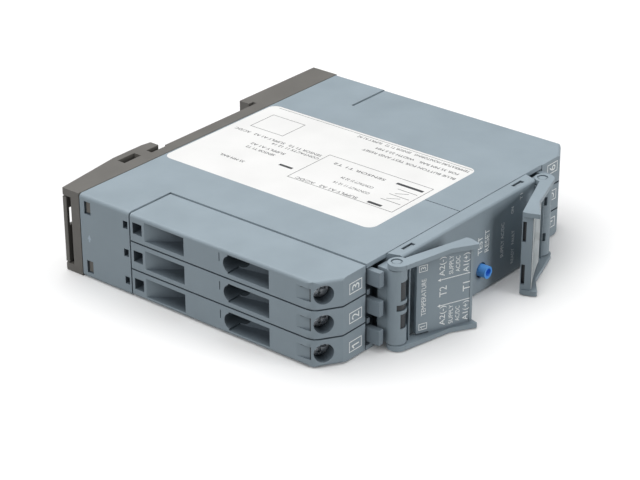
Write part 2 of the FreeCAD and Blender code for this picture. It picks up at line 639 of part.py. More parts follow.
def front_cap():
    tray = new_body("cap_tray")
    tip = "(cap_half - cap_taper)"
    pad(tray, [("-cap_half", CAP_LINE), ("-" + tip, FRONT), (tip, FRONT), ("cap_half", CAP_LINE)],
        "0", "width")
    round_edges(tray, "cap_round", y=(FRONT,), z=("0", "width"))
    rim = "(cap_half - cap_wall)"
    floor = f"({FRONT} + cap_wall)"
    floor_half = "(cap_half - cap_taper - cap_wall)"
    pocket(tray, [("-" + rim, CAP_LINE), ("-" + floor_half, floor), (floor_half, floor), (rim, CAP_LINE)],
           "cap_wall", "width - cap_wall")
    solids = [tray]
    seam_x = ("-cap_half - overcut", "cap_half + overcut")
    seam_y = (f"{CAP_LINE} - seam_wide", f"{CAP_LINE} + overcut")
    tools = [box(seam_x, seam_y, side) for side in broad_sides("seam_deep")]
    window_y = (f"{CAP_LINE} - snap_window_from - snap_window_deep", f"{CAP_LINE} - snap_window_from")
    for sign in ("-1", "1"):
        solids += hinge_column(sign)
        tools += column_slots(sign)
        window_x = around(f"{sign} * snap_at", "snap_window")
        tools += [box(window_x, window_y, side) for side in broad_sides("cap_wall + overlap")]
    through = "cap_wall + 2 * overcut"
    tools.append(rod("button_hole", "y", ("button_along", f"{FRONT} - overcut", "button_across"), through))
    for z in guide_places():
        tools.append(rod("guide_radius", "y", ("guide_along", f"{FRONT} - overcut", z), through))
    node("front_cap", cut(merged(solids), tools))


def guide_places():
    """Middles of the two light guides across the width."""
    return around("width / 2", "guide_spacing")


# Flaps: a leaning plate between two cheeks, with an end wall; drawn closed and swung to the angle
# of rest.
def flap(label, sign, angle):
    tip = "flap_reach + fin_out"
    sided = [("0", FLAP_INNER), ("flap_reach", FLAP_INNER), (tip, "fin_inner"), (tip, "fin_rise"),
             ("waist_at", "waist_rise"), ("boss_corner", "boss_shift + boss_radius")]
    outline = [(f"{sign} * ({x})", f"-({y})") for x, y in sided]
    solids = []
    for low, high in CHEEKS:
        side = new_body("flap_cheek")
        pad(side, outline, low, high)
        round_edges(side, "fin_round", x=(f"{sign} * ({tip})",), y=("-fin_inner", "-fin_rise"))
        boss = rod("boss_radius", "z", (f"{sign} * boss_out", "-boss_shift", low), "cheek")
        solids += [side, boss]
    inside = (f"{CHEEKS[0][1]} - overlap", f"{CHEEKS[1][0]} + overlap")
    leaning = [("plate_start", FLAP_INNER), ("flap_reach", "plate_rise - plate_thick"),
               ("flap_reach", "plate_rise"), ("plate_start", f"{FLAP_INNER} + plate_thick")]
    solids.append(prism([(f"{sign} * {x}", f"-({y})") for x, y in leaning], inside))
    end_x = in_order(f"{sign} * (flap_reach - plate_thick)", f"{sign} * flap_reach")
    solids.append(box(end_x, ("-plate_rise", f"-{FLAP_INNER}"), inside))
    tools = [rod("trunnion_radius + hinge_play", "z", ("0", "0", "-overcut"), "width + 2 * overcut")]
    for level in ("flap_inset - overcut", "width - flap_inset - sink_deep"):
        tools.append(rod("sink_radius", "z", ("0", "0", level), "sink_deep + overcut"))
    slot_x = in_order(f"{sign} * (flap_reach - plate_thick - overcut)", f"{sign} * (flap_reach + overcut)")
    slit_x = in_order(f"{sign} * (plate_start - overcut)", f"{sign} * (plate_start + slit_long)")
    slots = (("flap_slot_from", "flap_slot_from + flap_slot_long"),
             ("width - flap_slot_from - flap_slot_long", "width - flap_slot_from"))
    slits = ((CHEEKS[0][1], f"{CHEEKS[0][1]} + slit_wide"), (f"{CHEEKS[1][0]} - slit_wide", CHEEKS[1][0]))
    for slot, slit in zip(slots, slits):
        tools.append(box(slot_x, ("-fin_inner", "0"), slot))
        tools.append(box(slit_x, ("-plate_rise", f"overcut - {FLAP_INNER}"), slit))
    lid = cut(merged(solids), tools)
    place(lid, f"-({sign}) * hinge_out", HINGE_Y, "0", angle, clockwise=sign == "1")
    node(label, lid)


# Push button with its collar, the switch that it works and the switch's plunger.
def test_button():
    tip = f"({FRONT} - button_proud)"
    collar = f"({FRONT} + cap_wall + button_play)"
    stem = f"({collar} + button_flange_thick)"
    tail = f"({stem} + button_stem_long)"
    hollow = f"({tip} + button_bore_deep)"
    outline = [("0", hollow), ("button_bore", hollow), ("button_bore", tip), ("button_radius", tip),
               ("button_radius", collar), ("button_flange", collar), ("button_flange", stem),
               ("button_stem", stem), ("button_stem", tail), ("0", tail)]
    node("test_button", place(turned("button_turn", outline), "button_along", "0", "button_across"))
    plunger = rod("plunger_radius", "y", ("button_along", tail, "button_across"), "plunger_long")
    node("switch_plunger", plunger)
    face = f"({FRONT_BOARD_FACE} - switch_thick)"
    case = box(around("button_along", "switch_side"), (face, FRONT_BOARD_FACE),
               around("button_across", "switch_side"))
    well = rod("plunger_radius + plunger_play", "y", ("button_along", f"{face} - overcut", "button_across"),
               "switch_thick + overcut - switch_floor")
    node("test_switch", cut(case, [well]))


# Lamps on the front board and the clear guides that bring their light to the front face.
def lamps():
    lamp_face = f"({FRONT_BOARD_FACE} - lamp_thick)"
    for name, z in zip(("ready", "trip"), guide_places()):
        node(name + "_lamp", box(around("guide_along", "lamp_side"), (lamp_face, FRONT_BOARD_FACE),
                                 around(z, "lamp_side")))
        node(name + "_light_guide", rod("guide_radius", "y", ("guide_along", FRONT, z),
                                        f"{lamp_face} - board_play - {FRONT}"))


# Release comb: three tabs and two cleats on a spine, beside each terminal block.
def release_combs():
    outer = f"(-{WAIST} + comb_play)"
    floor = f"({RECESS_FLOOR} - comb_play)"
    pieces = [box((outer, f"{outer} + comb_wide"), (f"{floor} - comb_spine", floor),
                  ("wall + comb_play", "width - wall - comb_play"))]
    for pole in POLES:
        pieces.append(box((outer, f"{outer} + tab_thick"), (f"{CAP_LINE} - tab_proud", floor),
                          around(f"{pole_z(pole)} + tab_shift", "tab_tall")))
    for between in POLE_BOUNDS:
        pieces.append(box((outer, f"{outer} + cleat_thick"), (CAP_LINE, floor),
                          around(between, "cleat_tall")))
    both_ends("release_comb", merged(pieces))


# Terminal block: one moulding with three poles, each with a wire funnel, a slanted screw hole
# and a clamp chamber.
def slanted(piece, pole):
    """Turns a piece drawn along Y to the slant of a pole's screw."""
    return place(piece, SCREW_X, SCREW_Y, pole_z(pole), SLANT, clockwise=True)


def slant_point(x, y):
    """Place in the block of a point of the slanted drawing."""
    cosine = f"(chamfer_wide / {SLANT_LENGTH})"
    sine = f"(chamfer_deep / {SLANT_LENGTH})"
    return (f"({SCREW_X} + ({x}) * {cosine} + ({y}) * {sine})",
            f"({SCREW_Y} - ({x}) * {sine} + ({y}) * {cosine})")


def prism(points, z_range):
    body = new_body("prism")
    pad(body, points, *z_range)
    return body


def upright(x, y):
    """Corners of a rectangle between two coordinates along X and Y."""
    return [(x[0], y[0]), (x[1], y[0]), (x[1], y[1]), (x[0], y[1])]


def tall_bar(play):
    """Contact bar across the width, with play either side."""
    return around("0", f"cage_tall - 2 * cage_wall - 2 * bar_side_play + 2 * ({play})")


def end_pockets(pole):
    """Probe hole, rear pocket, wire funnel and marks in the end face of one pole."""
    outside = f"({MOUTH} - overcut)"
    tall = around(pole_z(pole), "pocket_tall")
    square_y = (f"{BLOCK_BACK} - square_from - square_side", f"{BLOCK_BACK} - square_from")
    probe = box((outside, f"{MOUTH} + square_deep"), square_y, around(pole_z(pole), "square_side"))
    high = f"({BLOCK_BACK} - pocket_from)"
    low = f"({BLOCK_BACK} - pocket_from - pocket_long)"
    floor = f"({MOUTH} + pocket_deep)"
    rear_pocket = prism([(outside, high), (MOUTH, high), (floor, f"{high} - pocket_slope"), (floor, low),
                         (outside, low)], tall)
    front = f"({SLANT_BACK} + funnel_from)"
    end = f"({front} + funnel_long)"
    throat = "-cage_half"
    funnel = prism([(outside, front), (MOUTH, front), slant_point(throat, f"{BAR_FRONT} + bar_thick"),
                    slant_point(throat, f"{CAGE_END} - cage_wall"), (f"{MOUTH} + funnel_step", end),
                    (outside, end)], tall)
    round_end = rod("funnel_round", "x", (outside, f"{end} - funnel_round_in", pole_z(pole)),
                    "funnel_round_deep + overcut")
    mark = box((outside, f"{MOUTH} + mark_deep"), around(f"{end} + mark_from", "mark_wide"),
               (pole_z(pole), f"{pole_z(pole)} + mark_tall"))
    patch_front = f"({SLANT_BACK} + patch_from)"
    patch = prism([(outside, patch_front), (f"{MOUTH} + patch_deep", patch_front),
                   (MOUTH, f"{SLANT_BACK} + patch_to"), (outside, f"{SLANT_BACK} + patch_to")],
                  around(pole_z(pole), "patch_tall"))
    return [probe, rear_pocket, funnel, round_end, mark, patch]


def clamp_space(pole):
    """Screw hole, clamp chamber and contact channel of one pole."""
    shank = "shank_radius + seat_play"
    bore = turned("screw_bore", [("0", "-overcut"), ("screw_bore", "-overcut"), ("screw_bore", SEAT),
                                 (shank, SEAT), (shank, CAGE_FRONT), ("0", CAGE_FRONT)])
    chamber = prism(upright(around("0", "2 * (cage_half + cage_play)"),
                            (f"{SEAT} + seat_thick", f"{CAGE_END} + cage_play")),
                    around("0", "cage_tall + 2 * cage_play"))
    slot = prism(upright(("0", f"{BAR_END} + sleeve_play"),
                         (f"{BAR_FRONT} - sleeve_play", f"{BAR_FRONT} + bar_thick + sleeve_play")),
                 tall_bar("sleeve_play"))
    channel = box(around(PLUG_X, "sleeve_side + 2 * sleeve_play"),
                  (f"{TAIL_FRONT} - sleeve_play", f"{SHOULDER} + overcut"),
                  around(pole_z(pole), "tail_wide + 2 * sleeve_play"))
    return [channel] + [slanted(tool, pole) for tool in (bore, chamber, slot)]


def pole_groove(level):
    """Groove between two poles over the end face, the slant and the front."""
    outside = f"({MOUTH} - overcut)"
    ahead = f"({CAP_LINE} - overcut)"
    back = f"({SHOULDER} + overcut)"
    inner = f"(-{WAIST} + overcut)"
    floor_x = f"({MOUTH} + groove_deep)"
    floor_y = f"({CAP_LINE} + groove_deep)"
    return prism([(outside, back), (outside, ahead), (inner, ahead), (inner, floor_y),
                  (f"{MOUTH} + chamfer_wide + groove_deep / 4", floor_y),
                  (floor_x, f"{SLANT_BACK} + groove_deep / 4"), (floor_x, back)],
                 around(level, "groove_wide"))


def terminal_blocks():
    moulding = new_body("block_moulding")
    inner = f"(-{WAIST} - block_gap)"
    low, high = "block_inset", "width - block_inset"
    pad(moulding, [(MOUTH, BLOCK_BACK), (MOUTH, SLANT_BACK), (f"{MOUTH} + chamfer_wide", CAP_LINE),
                   (inner, CAP_LINE), (inner, BLOCK_BACK)], low, high)
    round_edges(moulding, "block_round", away=inner, z=(low, high))
    tools = [pole_groove(level) for level in POLE_BOUNDS]
    for pole in POLES:
        tools += end_pockets(pole) + clamp_space(pole)
    both_ends("terminal_block", cut(moulding, tools))


# Clamps: a captive screw on the slant lifts a cage, which grips the wire against a contact bar.
def clamp_screw(pole):
    tip = f"({BAR_FRONT} - tip_gap)"
    screw = turned("clamp_screw", [("0", "head_below"), ("head_radius", "head_below"), ("head_radius", SEAT),
                                   ("shank_radius", SEAT), ("shank_radius", f"{tip} - tip_bevel"),
                                   ("shank_radius - tip_bevel", tip), ("0", tip)])
    cross = sketch(screw, "XZ_Plane", "-head_below")
    long, short = "slot_long / 2", "slot_wide / 2"
    quarters = [[(long, f"-{short}"), (long, short), (short, short)]]
    for _ in range(3):
        quarters.append([(f"-({y})", x) for x, y in quarters[-1]])
    draw_outline(cross, [corner for quarter in quarters for corner in quarter])
    feature(screw, "PartDesign::Pocket", cross, "slot_deep")
    return slanted(screw, pole)


def clamp_cage(pole):
    ring = prism(upright(("-cage_half", "cage_half"), (CAGE_FRONT, CAGE_END)), around("0", "cage_tall"))
    drawing = sketch(ring, "YZ_Plane", "cage_half")
    window = upright((CAGE_WINDOW, f"{CAGE_WINDOW} + cage_window"), around("0", "cage_tall - 2 * cage_wall"))
    draw_outline(drawing, window)
    feature(ring, "PartDesign::Pocket", drawing, "2 * cage_half")
    drilling = sketch(ring, "XZ_Plane", f"-({CAGE_FRONT})")
    draw_circle(drilling, ("0", "0"), "shank_radius + shank_play")
    feature(ring, "PartDesign::Pocket", drilling, "cage_nut")
    return slanted(ring, pole)


def contact_bar(pole):
    """Bar through the cage, a tail along the block and a sleeve for the plug pin."""
    bar = prism(upright(("-cage_half", BAR_END), (BAR_FRONT, f"{BAR_FRONT} + bar_thick")), tall_bar("0"))
    sleeve_front = f"({BLOCK_BACK} - sleeve_from - sleeve_long)"
    wide = around(pole_z(pole), "tail_wide")
    tail = box(around(PLUG_X, "tail_thick"), (TAIL_FRONT, f"{sleeve_front} + sleeve_end / 2"), wide)
    sleeve = box(around(PLUG_X, "sleeve_side"), (sleeve_front, f"{sleeve_front} + sleeve_long"), wide)
    bore_y = (f"{sleeve_front} + sleeve_end", f"{SHOULDER} + overcut")
    bore = box(around(PLUG_X, PIN_HOLE), bore_y, around(pole_z(pole), PIN_HOLE))
    return cut(merged([slanted(bar, pole), tail, sleeve]), [bore])


def clamps():
    makers = (("clamp_screw", clamp_screw), ("clamp_cage", clamp_cage), ("contact_bar", contact_bar))
    for pole in POLES:
        for name, maker in makers:
            piece = maker(pole)
            node(f"{name}_{pole}", piece)
            node(f"{name}_{pole + len(POLES)}", mirrored(piece))


# Plug headers: a strip behind each shoulder wall, with a pin for every pole.
def plug_headers():
    pins = []
    tools = []
    across = around(PLUG_X, "pin_side")
    for pole in POLES:
        level = around(pole_z(pole), "pin_side")
        pins.append(box(across, (f"{SHOULDER} - pin_reach", PIN_END), level))
        tools.append(box(across, (f"{HEADER_Y} - overcut", PIN_END), level))
    strip = box(around(PLUG_X, "header_wide"), (HEADER_Y, f"{HEADER_Y} + header_deep"),
                ("wall + board_play", "width - wall - board_play"))
    both_ends("plug_header", cut(strip, tools))
    both_ends("plug_pins", merged(pins))


# Foot: two cheeks beside the latch, the fixed hook and the plate between them.
def foot_snaps():
    """Arms with barbs that hold the foot by the housing's windows."""
    snaps = []
    front = f"({HOUSING_BACK} - window_back - window_deep)"
    barb_y = (f"{front} + snap_play", f"{HOUSING_BACK} - window_back - snap_play")
    arm_face = f"({HALF} - wall - arm_play)"
    for sign in ("-1", "1"):
        arm_x = in_order(f"{sign} * {arm_face}", f"{sign} * ({arm_face} - snap_tongue)")
        barb_x = in_order(f"{sign} * ({HALF} - snap_below)", f"{sign} * {arm_face}")
        for middle in FOOT_SNAPS:
            across = around(middle, "window_tall - 2 * snap_play")
            snaps.append(box(arm_x, (front, HOUSING_BACK), across))
            snaps.append(box(barb_x, barb_y, across))
    return snaps


# Shadow seam: a shallow groove all round the foot where the housing's rim stands on it.
def foot_seams():
    seam_y = (f"{HOUSING_BACK} - overcut", f"{HOUSING_BACK} + seam_wide")
    whole_x = (f"-{HALF} - overcut", f"{HALF} + overcut")
    seams = [box(whole_x, seam_y, side) for side in broad_sides("seam_deep")]
    for sign in ("-1", "1"):
        end_x = in_order(f"{sign} * ({HALF} - seam_deep)", f"{sign} * ({HALF} + overcut)")
        seams.append(box(end_x, seam_y, ("-overcut", "width + overcut")))
    return seams


def rail_base():
    profile = new_body("foot_profile")
    hook_end = f"({RAIL_FAR} + rail_play)"
    hook_side = [("-" + HALF, HOUSING_BACK), (HALF, HOUSING_BACK), (HALF, BACK), ("hook_at", BACK),
                 ("hook_at", RAIL_BACK), (hook_end, RAIL_BACK), (hook_end, STRIP_Y)]
    latch_side = [(BAY_END, STRIP_Y), ("-cheek_lip", RAIL_BACK), ("-cheek_lip", f"{BACK} - lip_edge"),
                  ("-cheek_lip - lip_slant", BACK), (f"-{HALF} + ramp_long", BACK),
                  ("-" + HALF, f"{BACK} - near_drop")]
    pad(profile, hook_side + latch_side, "0", "width")
    bay = box((f"-{HALF} - overcut", "-cheek_lip + overcut"),
              (f"{HOUSING_BACK} + latch_wall", f"{BACK} + overcut"), ("foot_cheek", "width - foot_cheek"))
    across = ("-overcut", "width + overcut")
    window = box(around("-stop_window_at", STOP_WINDOW),
                 around(f"{LATCH_Y} + latch_plate / 2", "stop_window_tall"), across)
    undercut = box((f"{BAY_END} - undercut_long", "-cheek_lip + overcut"),
                   (f"{STRIP_Y} - undercut_in", RAIL_BACK), across)
    post = box(("-spring_at - post_thick", "-spring_at"), (HOUSING_BACK, f"{LATCH_BACK} + post_proud"),
               around("width / 2", "post_wide"))
    node("rail_base", merged([cut(profile, [bay, window, undercut] + foot_seams()), post] + foot_snaps()))


# Latch: a sprung plate with a nose that goes over the rail's edge and a slot for the screwdriver
# that pulls it.
def rail_latch():
    low, high = "(foot_cheek + latch_side_play)", "(width - foot_cheek - latch_side_play)"
    plate_end = f"({BAY_END} - latch_end_play)"
    plate = prism(upright(("-" + HALF, plate_end), (LATCH_Y, LATCH_BACK)), (low, high))
    tip = f"({RAIL_NEAR} + latch_overlap)"
    nose_back = f"({LATCH_BACK} + nose_high)"
    nose = prism([(f"{plate_end} - nose_heel", LATCH_BACK), (plate_end, RAIL_BACK), (tip, RAIL_BACK),
                  (tip, f"{RAIL_BACK} + nose_edge"), (f"{tip} - nose_bevel", nose_back),
                  (f"{plate_end} - nose_top", nose_back)], around("width / 2", "nose_wide"))
    boss_end = f"(-stop_window_at + {STOP_WINDOW} / 2 - snap_play)"
    boss = box((f"{boss_end} - stop_boss", boss_end), (LATCH_Y, LATCH_BACK),
               ("stop_below", "width - stop_below"))
    through = (f"{LATCH_Y} - overcut", f"{LATCH_BACK} + overcut")
    pull = box((f"-{HALF} + pull_bar", f"-{HALF} + pull_bar + pull_slot"), through,
               around("width / 2 + pull_slot_shift", "pull_slot_wide"))
    slot = box(("-spring_at - post_thick - latch_end_play", "-spring_at + spring_length"), through,
               around("width / 2", "post_wide + 2 * latch_side_play"))
    node("rail_latch", cut(merged([plate, nose, boss]), [pull, slot]))


def latch_spring():
    """Coil between the foot's post and the end of the latch's slot."""
    coil_height = "spring_length - 2 * spring_wire - 2 * spring_gap"
    coil = doc.addObject("Part::Helix", "coil")
    coil.setExpression("Pitch", bound(f"({coil_height}) / spring_turns"))
    coil.setExpression("Height", bound(coil_height))
    coil.setExpression("Radius", bound("spring_radius"))
    wire = doc.addObject("Part::RegularPolygon", "wire")
    wire.Polygon = 8
    wire.setExpression("Circumradius", bound("spring_wire"))
    wire.Placement = FreeCAD.Placement(FreeCAD.Vector(), FreeCAD.Rotation(FreeCAD.Vector(1, 0, 0), 90))
    wire.setExpression("Placement.Base.x", bound("spring_radius"))
    doc.recompute()
    spring = doc.addObject("Part::Sweep", "spring")
    spring.Sections = [wire]
    spring.Spine = (coil, ["Edge1"])
    spring.Solid = True
    spring.Frenet = True
    spring.Placement = FreeCAD.Placement(FreeCAD.Vector(), AXIS_TURN["x"])
    place(spring, "-spring_at + spring_wire + spring_gap", f"{LATCH_Y} + latch_plate / 2", "width / 2")
    node("latch_spring", spring)


# Boards and what is soldered to them.
def boards():
    edge = f"({WAIST} - wall - board_play)"
    wide = f"({HALF} - wall - snap_tongue - 2 * board_play)"
    step = f"({PIN_END} + board_play)"
    right_side = [(edge, BOARD_FRONT), (edge, step), (wide, step), (wide, BOARD_BACK)]
    left_side = [("-" + x, y) for x, y in reversed(right_side)]
    node("main_board", prism(right_side + left_side, ("board_level", BOARD_TOP)))
    side = "(wall + snap_tongue + board_play)"
    node("front_board", box(around("0", "2 * front_board_half"), (FRONT_BOARD_FACE, FRONT_BOARD_BACK),
                            (side, f"width - {side}")))


def board_y(share):
    """Place along the depth of the main board, as a share of it from the front."""
    return f"({BOARD_FRONT} + {share} * ({BOARD_BACK} - {BOARD_FRONT}))"


def moulded(label, name):
    """Component with rounded upright edges, standing on the main board."""
    x = around(f"{name}_along", f"{name}_long")
    y = around(board_y(f"{name}_share"), f"{name}_wide")
    body = prism(upright(x, y), (BOARD_TOP, f"{BOARD_TOP} + {name}_tall"))
    round_edges(body, "part_round", x=x, y=y)
    node(label, body)


def transformer():
    """Three-limbed core with a winding round its middle limb."""
    x = around("core_along", "core_long")
    y = around(board_y("core_share"), "core_wide")
    top = f"({BOARD_TOP} + core_tall)"
    window_z = (f"{BOARD_TOP} + core_leg", f"{top} - core_leg")
    limb_x = around("core_along", "2 * core_leg")
    left = (f"{x[0]} + core_leg", limb_x[0])
    right = (limb_x[1], f"{x[1]} - core_leg")
    through = (f"{y[0]} - overcut", f"{y[1]} + overcut")
    openings = [box(side, through, window_z) for side in (left, right)]
    node("transformer_core", cut(box(x, y, (BOARD_TOP, top)), openings))
    wound = box((left[0], right[1]), (f"{y[0]} - winding_proud", f"{y[1]} + winding_proud"), window_z)
    node("transformer_winding", cut(wound, [box(limb_x, y, (BOARD_TOP, top))]))


def components():
    moulded("output_relay", "relay")
    moulded("filter_capacitor", "film")
    moulded("control_chip", "chip")
    transformer()
    for label, name in (("bulk_capacitor", "bulk"), ("varistor", "varistor")):
        start = (f"{name}_along", board_y(f"{name}_share"), f"{BOARD_TOP} + {name}_radius")
        node(label, rod(f"{name}_radius", "x", start, f"{name}_long"))


housing()
front_cap()
flap("upper_flap", "1", "upper_flap_angle")
flap("lower_flap", "-1", "lower_flap_angle")
test_button()
lamps()
release_combs()
terminal_blocks()
clamps()
plug_headers()
rail_base()
rail_latch()
latch_spring()
boards()
components()
doc.recompute()

for item in doc.Objects:
    if "Invalid" in item.State or "Error" in item.State:
        raise RuntimeError(f"{item.Name} ({item.Label}) failed: {item.State}")
for piece in nodes:
    if piece.Shape.isNull() or not piece.Shape.isValid():
        raise RuntimeError(f"{piece.Label} has no valid shape")

os.makedirs("parts", exist_ok=True)
for piece in nodes:
    piece.Shape.exportStep(f"parts/{piece.Label}.step")
print(len(nodes), "sub-parts written")
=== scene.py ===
# %% [markdown]
# A temperature monitoring relay for a 35 mm rail, lying on its broad side.
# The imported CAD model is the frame: it already holds every moulding, screw, clamp and board at its
# real size. This lesson adds what CAD leaves out: softened mould edges, the finish of each material,
# the printed label and the printed marks. Blender's lengths are metres; named lengths are millimetres
# unless a comment says otherwise, and are multiplied by MM where they are used.

# %% Load the frame
import json
import math

import bpy
from mathutils import Matrix, Vector


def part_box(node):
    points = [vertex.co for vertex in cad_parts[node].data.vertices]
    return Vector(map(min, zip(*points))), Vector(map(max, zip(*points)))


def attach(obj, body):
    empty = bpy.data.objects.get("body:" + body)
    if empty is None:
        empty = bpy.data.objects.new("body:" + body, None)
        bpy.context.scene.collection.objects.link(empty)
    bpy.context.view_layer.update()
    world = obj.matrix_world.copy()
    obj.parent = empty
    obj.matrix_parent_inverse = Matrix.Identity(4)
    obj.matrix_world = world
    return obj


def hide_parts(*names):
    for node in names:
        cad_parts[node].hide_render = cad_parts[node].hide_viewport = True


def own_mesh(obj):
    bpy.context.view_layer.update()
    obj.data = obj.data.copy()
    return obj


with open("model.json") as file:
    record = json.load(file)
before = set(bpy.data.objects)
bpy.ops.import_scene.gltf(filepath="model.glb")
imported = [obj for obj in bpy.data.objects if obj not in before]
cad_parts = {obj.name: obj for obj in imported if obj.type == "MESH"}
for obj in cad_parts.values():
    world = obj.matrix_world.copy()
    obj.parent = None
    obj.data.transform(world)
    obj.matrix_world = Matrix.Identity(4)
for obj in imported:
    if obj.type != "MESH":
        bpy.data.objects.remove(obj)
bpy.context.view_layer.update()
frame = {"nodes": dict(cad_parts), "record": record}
MM = 0.001
nodes = frame["nodes"]
slot_of = {part["node"]: part["material_slot"] for part in frame["record"]["subparts"]}
body_of = {node: body for body, held in frame["record"]["behaviour"]["bodies"].items() for node in held}

# %% [markdown]
# The camera stands where the photographer stood. Its azimuth, elevation and distance were solved
# from the corners of the housing, whose real size is known, so a long lens gives the same mild
# perspective as the photograph.

# %% Camera
AZIMUTH = math.radians(-50.525)
ELEVATION = math.radians(26.381)
ROLL = math.radians(-0.124)
CAMERA_PLACE = Vector((-371.58, -304.39, 240.34)) * MM
FOCAL_PIXELS = 2108.7
IMAGE_WIDTH = 640
SENSOR_MM = 36
NEAREST = 10

back = Vector((math.sin(AZIMUTH) * math.cos(ELEVATION),
               -math.cos(AZIMUTH) * math.cos(ELEVATION), math.sin(ELEVATION)))
level_right = Vector((math.cos(AZIMUTH), math.sin(AZIMUTH), 0))
level_up = back.cross(level_right)
right = math.cos(ROLL) * level_right + math.sin(ROLL) * level_up
up = math.cos(ROLL) * level_up - math.sin(ROLL) * level_right
turned = Matrix((right, up, back)).transposed().to_4x4()

lens = bpy.data.cameras.new("photo_camera")
lens.sensor_width = SENSOR_MM
lens.lens = FOCAL_PIXELS / IMAGE_WIDTH * SENSOR_MM
lens.clip_start = NEAREST * MM
camera = bpy.data.objects.new("photo_camera", lens)
camera.matrix_world = Matrix.Translation(CAMERA_PLACE) @ turned
bpy.context.scene.collection.objects.link(camera)
bpy.context.scene.camera = camera
print("camera: lens", round(lens.lens, 1), "mm")

# %% [markdown]
# One function turns the sRGB colours that a designer writes into Blender's linear ones, and one adds
# a node with its settings and links, so that each finish below reads as a short recipe.

# %% Helpers for finishes


def linear(code):
    """Linear colour of an sRGB hex value."""
    channels = [int(code[i:i + 2], 16) / 255 for i in (1, 3, 5)]
    return [c / 12.92 if c <= 0.04045 else ((c + 0.055) / 1.055) ** 2.4 for c in channels] + [1]


def add(tree, kind, settings, links=None):
    """Adds a node, sets its properties, colour stops and sockets by name, and links named sockets."""
    node = tree.nodes.new(kind)
    for name, value in settings.items():
        if name == "stops":
            for stop, (position, code) in zip(node.color_ramp.elements, value):
                stop.position = position
                stop.color = linear(code)
        elif hasattr(node, name):
            setattr(node, name, value)
        else:
            node.inputs[name].default_value = value
    for name, source in (links or {}).items():
        tree.links.new(source, node.inputs[name])
    return node


# %% [markdown]
# A product photograph on white is lit by a large soft box overhead, which makes the broad side the
# brightest face, by a weaker one at the left for the end, and by one from the front at the right, which
# lights the front but leaves the screw bores and the slots dark. The white sweep would throw light back
# up, so the floor is kept out of the diffuse bounces, as a photographer does with black cards, and shows
# only in the gloss of faces seen at a low angle. The picture is developed without a film curve, so that
# the floor stays white.

# %% Floor and light
FLOOR_BELOW = 0.1
PAPER_ROUGHNESS = 0.9
ROOM_STRENGTH = 0.14
# In metres: the floor's side, the point that the soft boxes look at, and the place and side of each,
# followed by its watts.
FLOOR_SIDE = 6
LIGHT_TARGET = Vector((0, 0, 0.01))
SOFT_BOXES = {"overhead_box": ((0.05, 0.30, 1.0), 1.5, 15.5),
              "left_box": ((-0.95, 0.0, 0.50), 0.7, 4.3),
              "front_box": ((0.30, -0.95, 0.30), 0.5, 4.8)}

bpy.ops.object.select_all(action="DESELECT")
bpy.ops.mesh.primitive_plane_add(size=FLOOR_SIDE, location=(0, 0, -FLOOR_BELOW * MM))
floor = bpy.context.object
floor.name = "floor"
floor.visible_diffuse = False
sweep = bpy.data.materials.new("paper_white_sweep")
sweep.use_nodes = True
paper = sweep.node_tree.nodes["Principled BSDF"]
paper.inputs["Base Color"].default_value = linear("#F8F8F8")
paper.inputs["Roughness"].default_value = PAPER_ROUGHNESS
floor.data.materials.append(sweep)

for name, (place, side, watts) in SOFT_BOXES.items():
    light = bpy.data.lights.new(name, "AREA")
    light.size = side
    light.energy = watts
    lamp = bpy.data.objects.new(name, light)
    lamp.location = place
    lamp.rotation_euler = (LIGHT_TARGET - Vector(place)).to_track_quat("-Z", "Y").to_euler()
    bpy.context.scene.collection.objects.link(lamp)
world = bpy.data.worlds.new("studio")
world.use_nodes = True
room = world.node_tree.nodes["Background"]
room.inputs["Color"].default_value = linear("#FFFFFF")
room.inputs["Strength"].default_value = ROOM_STRENGTH
bpy.context.scene.world = world
bpy.context.scene.view_settings.view_transform = "Standard"
print("light:", len(SOFT_BOXES), "soft boxes and a dim white room")

# %% [markdown]
# Most of the finishes share one build-up: a tone that drifts a little over some millimetres, a gloss
# that drifts with it, and a fine grain in relief. Real mouldings, castings, papers and lacquers all
# look flat without these, and their sizes in millimetres are what tells them apart. The light mouldings
# also get painted shade: their hollows are painted darker than their faces, where less light reaches.
# A node that measures how far a point is shut in by its own piece finds them, so the painted shade
# moves with the piece.

# %% Drifting finish
# Noise between these two values runs from the dark tone to the light one.
CLOUD_RANGE = (0.3, 0.7)
CLOUD_DETAIL = 5.0
GRAIN_DETAIL = 2.0
GRAIN_STRENGTH = 0.3
# Walls nearer than this shut a point in. Between these two shares of open directions, its colour runs
# from the painted shade of a hollow to that of a face.
HOLLOW_REACH = 8
HOLLOW_RANGE = (0.35, 0.92)
HOLLOW_SAMPLES = 8


